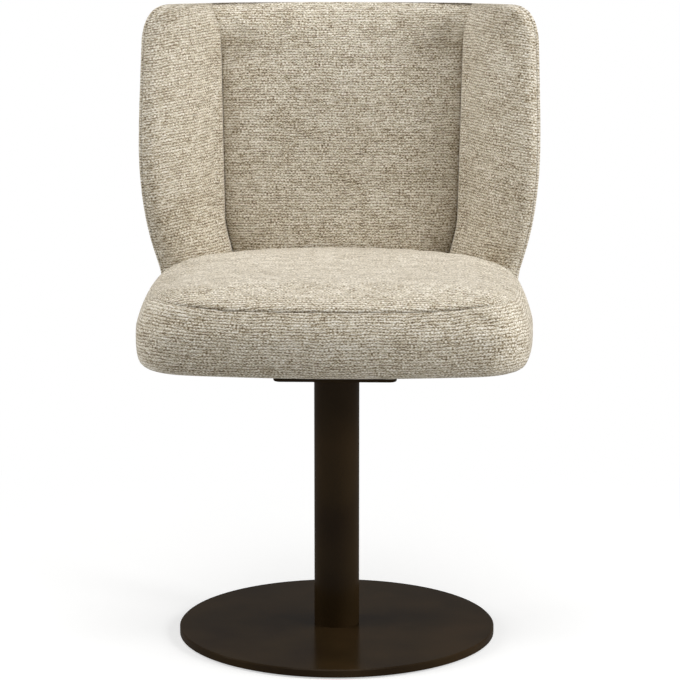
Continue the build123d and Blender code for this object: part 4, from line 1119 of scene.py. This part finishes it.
# %% Inner back panel
OTHER_YARNS = (700.0, 300.0)                 # it comes from another place on the roll
# The inner back gets a shade painted beside each step's foot, darker towards the bottom.
SHADE, SHADE_LOW = 0.24, 0.16                # darkness of the seam's shade, and how much more it has low down
right_foot, left_foot, under_crest, inner_away = from_edges(inner)
middle = inner.shape[1] // 2
inner_cut = np.stack([right_foot - right_foot[:, middle:middle + 1] + OTHER_YARNS[0],
                      up_the_cut(inner, middle) + OTHER_YARNS[1]], axis=2)
foot_open = ease((STEP_END - inner[..., 2]) / STEP_FADE)
foot = np.minimum(right_foot, left_foot)
shade = SHADE + SHADE_LOW * ease((640 - inner[..., 2]) / 120)
# The first seam dives the cloth in at each step's foot; the second has no depth and only paints shade there.
inner, inner_painted_shade = stitch(inner, (0, -1, 0), [(foot, 0.3 + 0.9 * foot_open, 0.0, 2.6, 0.0),
                                               (foot, 0.0, 0.0, 6.0, shade * foot_open),
                                               (under_crest, *CREST_SEAM)])
inner_painted_shade = paint_contact_shade(inner, inner_painted_shade)
panel = upholster("inner_back_panel", inner, inner_cut, inner_painted_shade, (0, -1, 0),
                  ["inner_back_cover", "back_foam"], inner_away, 2.5)
trim(panel)

# %% [markdown]
# ## Cloth under the seat and under the base
# A black lining closes the cushion from below, with a square hole for the plate. It is stapled at its edge
# and sags a millimetre in between. The felt disc is glued under the base and shows only as a thin dark line.

# %% Lining
PLATE_GAP = 82.0             # centre to the hole's edge
LINING_RINGS = 28
LINING_INSET, LINING_HEIGHT, LINING_SAG = 58.0, 386.1, 1.2
corners = np.array([(1, -1), (1, 1), (-1, 1), (-1, -1), (1, -1)]) * PLATE_GAP
steps = np.linspace(0, 1, SIDE_CELLS, endpoint=False)[:, None]
square = np.concatenate([start * (1 - steps) + end * steps for start, end in zip(corners, corners[1:])])
outer_edge = ring(LINING_INSET, 0.0, border)[:, :2]
lining_rows = []
for share in np.linspace(0, 1, LINING_RINGS + 1):
    sag = LINING_SAG * sin(pi * share) ** 2 * (0.7 + 0.3 * waver(round_seat[:-1] / 9))
    lining_rows.append(np.column_stack([square * (1 - share) + outer_edge * share, LINING_HEIGHT - sag]))
lining_rows = np.array(lining_rows)
lining_loop = np.concatenate([lining_rows, lining_rows[:, :1]], axis=1)
dust_cloth = sew("dust_cloth", lining_rows, lining_loop[:, :, :2], wrap=True)
dress(dust_cloth, spunbond, "seat", ["dust_cover"])

# %% Felt disc
FELT_RADIUS, FELT_CENTRE = 207.0, 0.2        # the disc's middle is closed by a ring too small to see
FELT_RIM = [(204.0, 0.0), (206.2, 0.2), (FELT_RADIUS, 0.9), (206.9, 1.5), (206.3, 2.0), (204.0, 2.0)]
FELT_RINGS = (0.0, 60.0, 130.0, 190.0)
felt_profile = [(r, 0.0) for r in FELT_RINGS] + FELT_RIM + [(r, 2.0) for r in FELT_RINGS[::-1]]
angles = np.linspace(0, 2 * pi, 161)
felt_rows = [[(max(r, FELT_CENTRE) * cos(a), max(r, FELT_CENTRE) * sin(a), z) for a in angles[:-1]]
             for r, z in felt_profile]
felt_cut = [[(r * cos(a), r * sin(a)) for a in angles] for r, z in felt_profile]
felt_disc = sew("felt_disc", felt_rows, felt_cut, wrap=True)
dress(felt_disc, wool_felt, "base", ["floor_pad"])

# %% [markdown]
# ## Floor and light
# The picture is a catalogue shot: white all round, with light from above and from both sides. A large lamp
# hangs over the chair, and one stands on each side, about equally strong. A smaller key lamp stands to the
# front right. It reaches into the left wing, and the right wing's step keeps its light off the last
# centimetres of the inner back. The world adds a little light from everywhere. The floor is pale and takes a
# soft shadow. Further out it turns into plain white for the eye, for gloss and for glass, so that no horizon
# shows.

# %% World
WHITE = (1.0, 1.0, 1.0, 1.0)
WORLD_LIGHT = 0.06


def seen_directly(material):
    """1 for rays of the camera, of gloss and of glass, and 0 for the rays that carry light."""
    rays = add(material, "LightPath", {}).outputs
    seen = add(material, "Math", {0: rays["Is Camera Ray"], 1: rays["Is Glossy Ray"]}, operation="ADD")
    return add(material, "Math", {0: seen, 1: rays["Is Transmission Ray"]}, operation="ADD", use_clamp=True)


world = bpy.data.worlds.new("studio")
bpy.context.scene.world = world
world.use_nodes = True
world.node_tree.nodes.clear()
strength = add(world, "MapRange", {"Value": seen_directly(world), "To Min": WORLD_LIGHT, "To Max": 1.0})
add(world, "OutputWorld", {"Surface": add(world, "Background", {"Color": WHITE, "Strength": strength})})

# %% Lamps
# Each has a place, a point to aim at, the length of its side in millimetres, and its power in watts.
LAMPS = {"above": ((0, -450, 3050), (0, 0, 500), 2400, 49.0),
         "right": ((2600, -300, 1500), (0, 0, 600), 1600, 38.0),
         "left": ((-2600, -300, 1500), (0, 0, 600), 1600, 37.0),
         "key": ((2770, -1800, 1700), (0, 0, 600), 800, 32.0)}
for lamp_name, (place, aim, side_length, power) in LAMPS.items():
    data = bpy.data.lights.new(lamp_name, "AREA")
    data.shape = "SQUARE"
    data.size = side_length * METRE
    data.energy = power
    lamp = bpy.data.objects.new(lamp_name, data)
    lamp.location = Vector(place) * METRE
    lamp.rotation_euler = (Vector(aim) - Vector(place)).to_track_quat("-Z", "Y").to_euler()
    bpy.context.scene.collection.objects.link(lamp)

# %% Floor
FLOOR_RADIUS, FLOOR_DROP = 8000.0, 0.5
FADE_START, FADE_END = 350.0, 1100.0         # mm from the middle: the pale floor turns white between these
FLOOR_LIFT = 0.55            # light that the pale floor adds for the eye, so that its shadow stays soft

studio_floor = new_finish("studio_floor")
place = add(studio_floor, "TexCoord", {}).outputs["Object"]
away = add(studio_floor, "VectorMath", {0: place}, operation="LENGTH").outputs["Value"]
fading = add(studio_floor, "MapRange",
             {"Value": away, "From Min": FADE_START * METRE, "From Max": FADE_END * METRE},
             interpolation_type="SMOOTHSTEP")
seen = seen_directly(studio_floor)
share_white = add(studio_floor, "Math", {0: fading, 1: seen}, operation="MULTIPLY")
dust = add(studio_floor, "TexNoise", {"Vector": place, "Scale": 3.0})
pale = add(studio_floor, "ValToRGB", {0: dust}, [(0.3, "#c8c8c7"), (0.7, "#cbcbca")])
matt_floor = add(studio_floor, "BsdfDiffuse", {"Color": pale})
lift_level = add(studio_floor, "Math", {0: seen, 1: FLOOR_LIFT}, operation="MULTIPLY")
lift = add(studio_floor, "Emission", {"Color": WHITE, "Strength": lift_level})
lit_floor = add(studio_floor, "AddShader", {0: matt_floor, 1: lift})
white = add(studio_floor, "Emission", {"Color": WHITE, "Strength": 1.0})
floor_mix = add(studio_floor, "MixShader", {0: share_white, 1: lit_floor, 2: white})
add(studio_floor, "OutputMaterial", {"Surface": floor_mix})
rim = [(FLOOR_RADIUS * METRE * cos(a), FLOOR_RADIUS * METRE * sin(a), -FLOOR_DROP * METRE)
       for a in np.linspace(0, 2 * pi, 96, endpoint=False)]
floor_mesh = bpy.data.meshes.new("floor")
floor_mesh.from_pydata(rim, [], [list(range(96))])
floor_mesh.materials.append(studio_floor)
floor = bpy.data.objects.new("floor", floor_mesh)
bpy.context.scene.collection.objects.link(floor)
floor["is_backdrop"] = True

# %% [markdown]
# ## Look at the size, and finish
# The picture is read as screen colours without any film look, so that white stays white. The box of the
# dressed chair is kept beside the CAD box, to see at once if a cover has grown past its foam.

# %% View and sizes
bpy.context.scene.view_settings.view_transform = "Standard"
visual_box = [list(corner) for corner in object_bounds()]
for axis, low_cad, high_cad, low, high in zip("xyz", *cad_box, *visual_box):
    print(f"{axis}: CAD {low_cad * 1000:.1f} to {high_cad * 1000:.1f} mm, "
          f"dressed {low * 1000:.1f} to {high * 1000:.1f} mm")
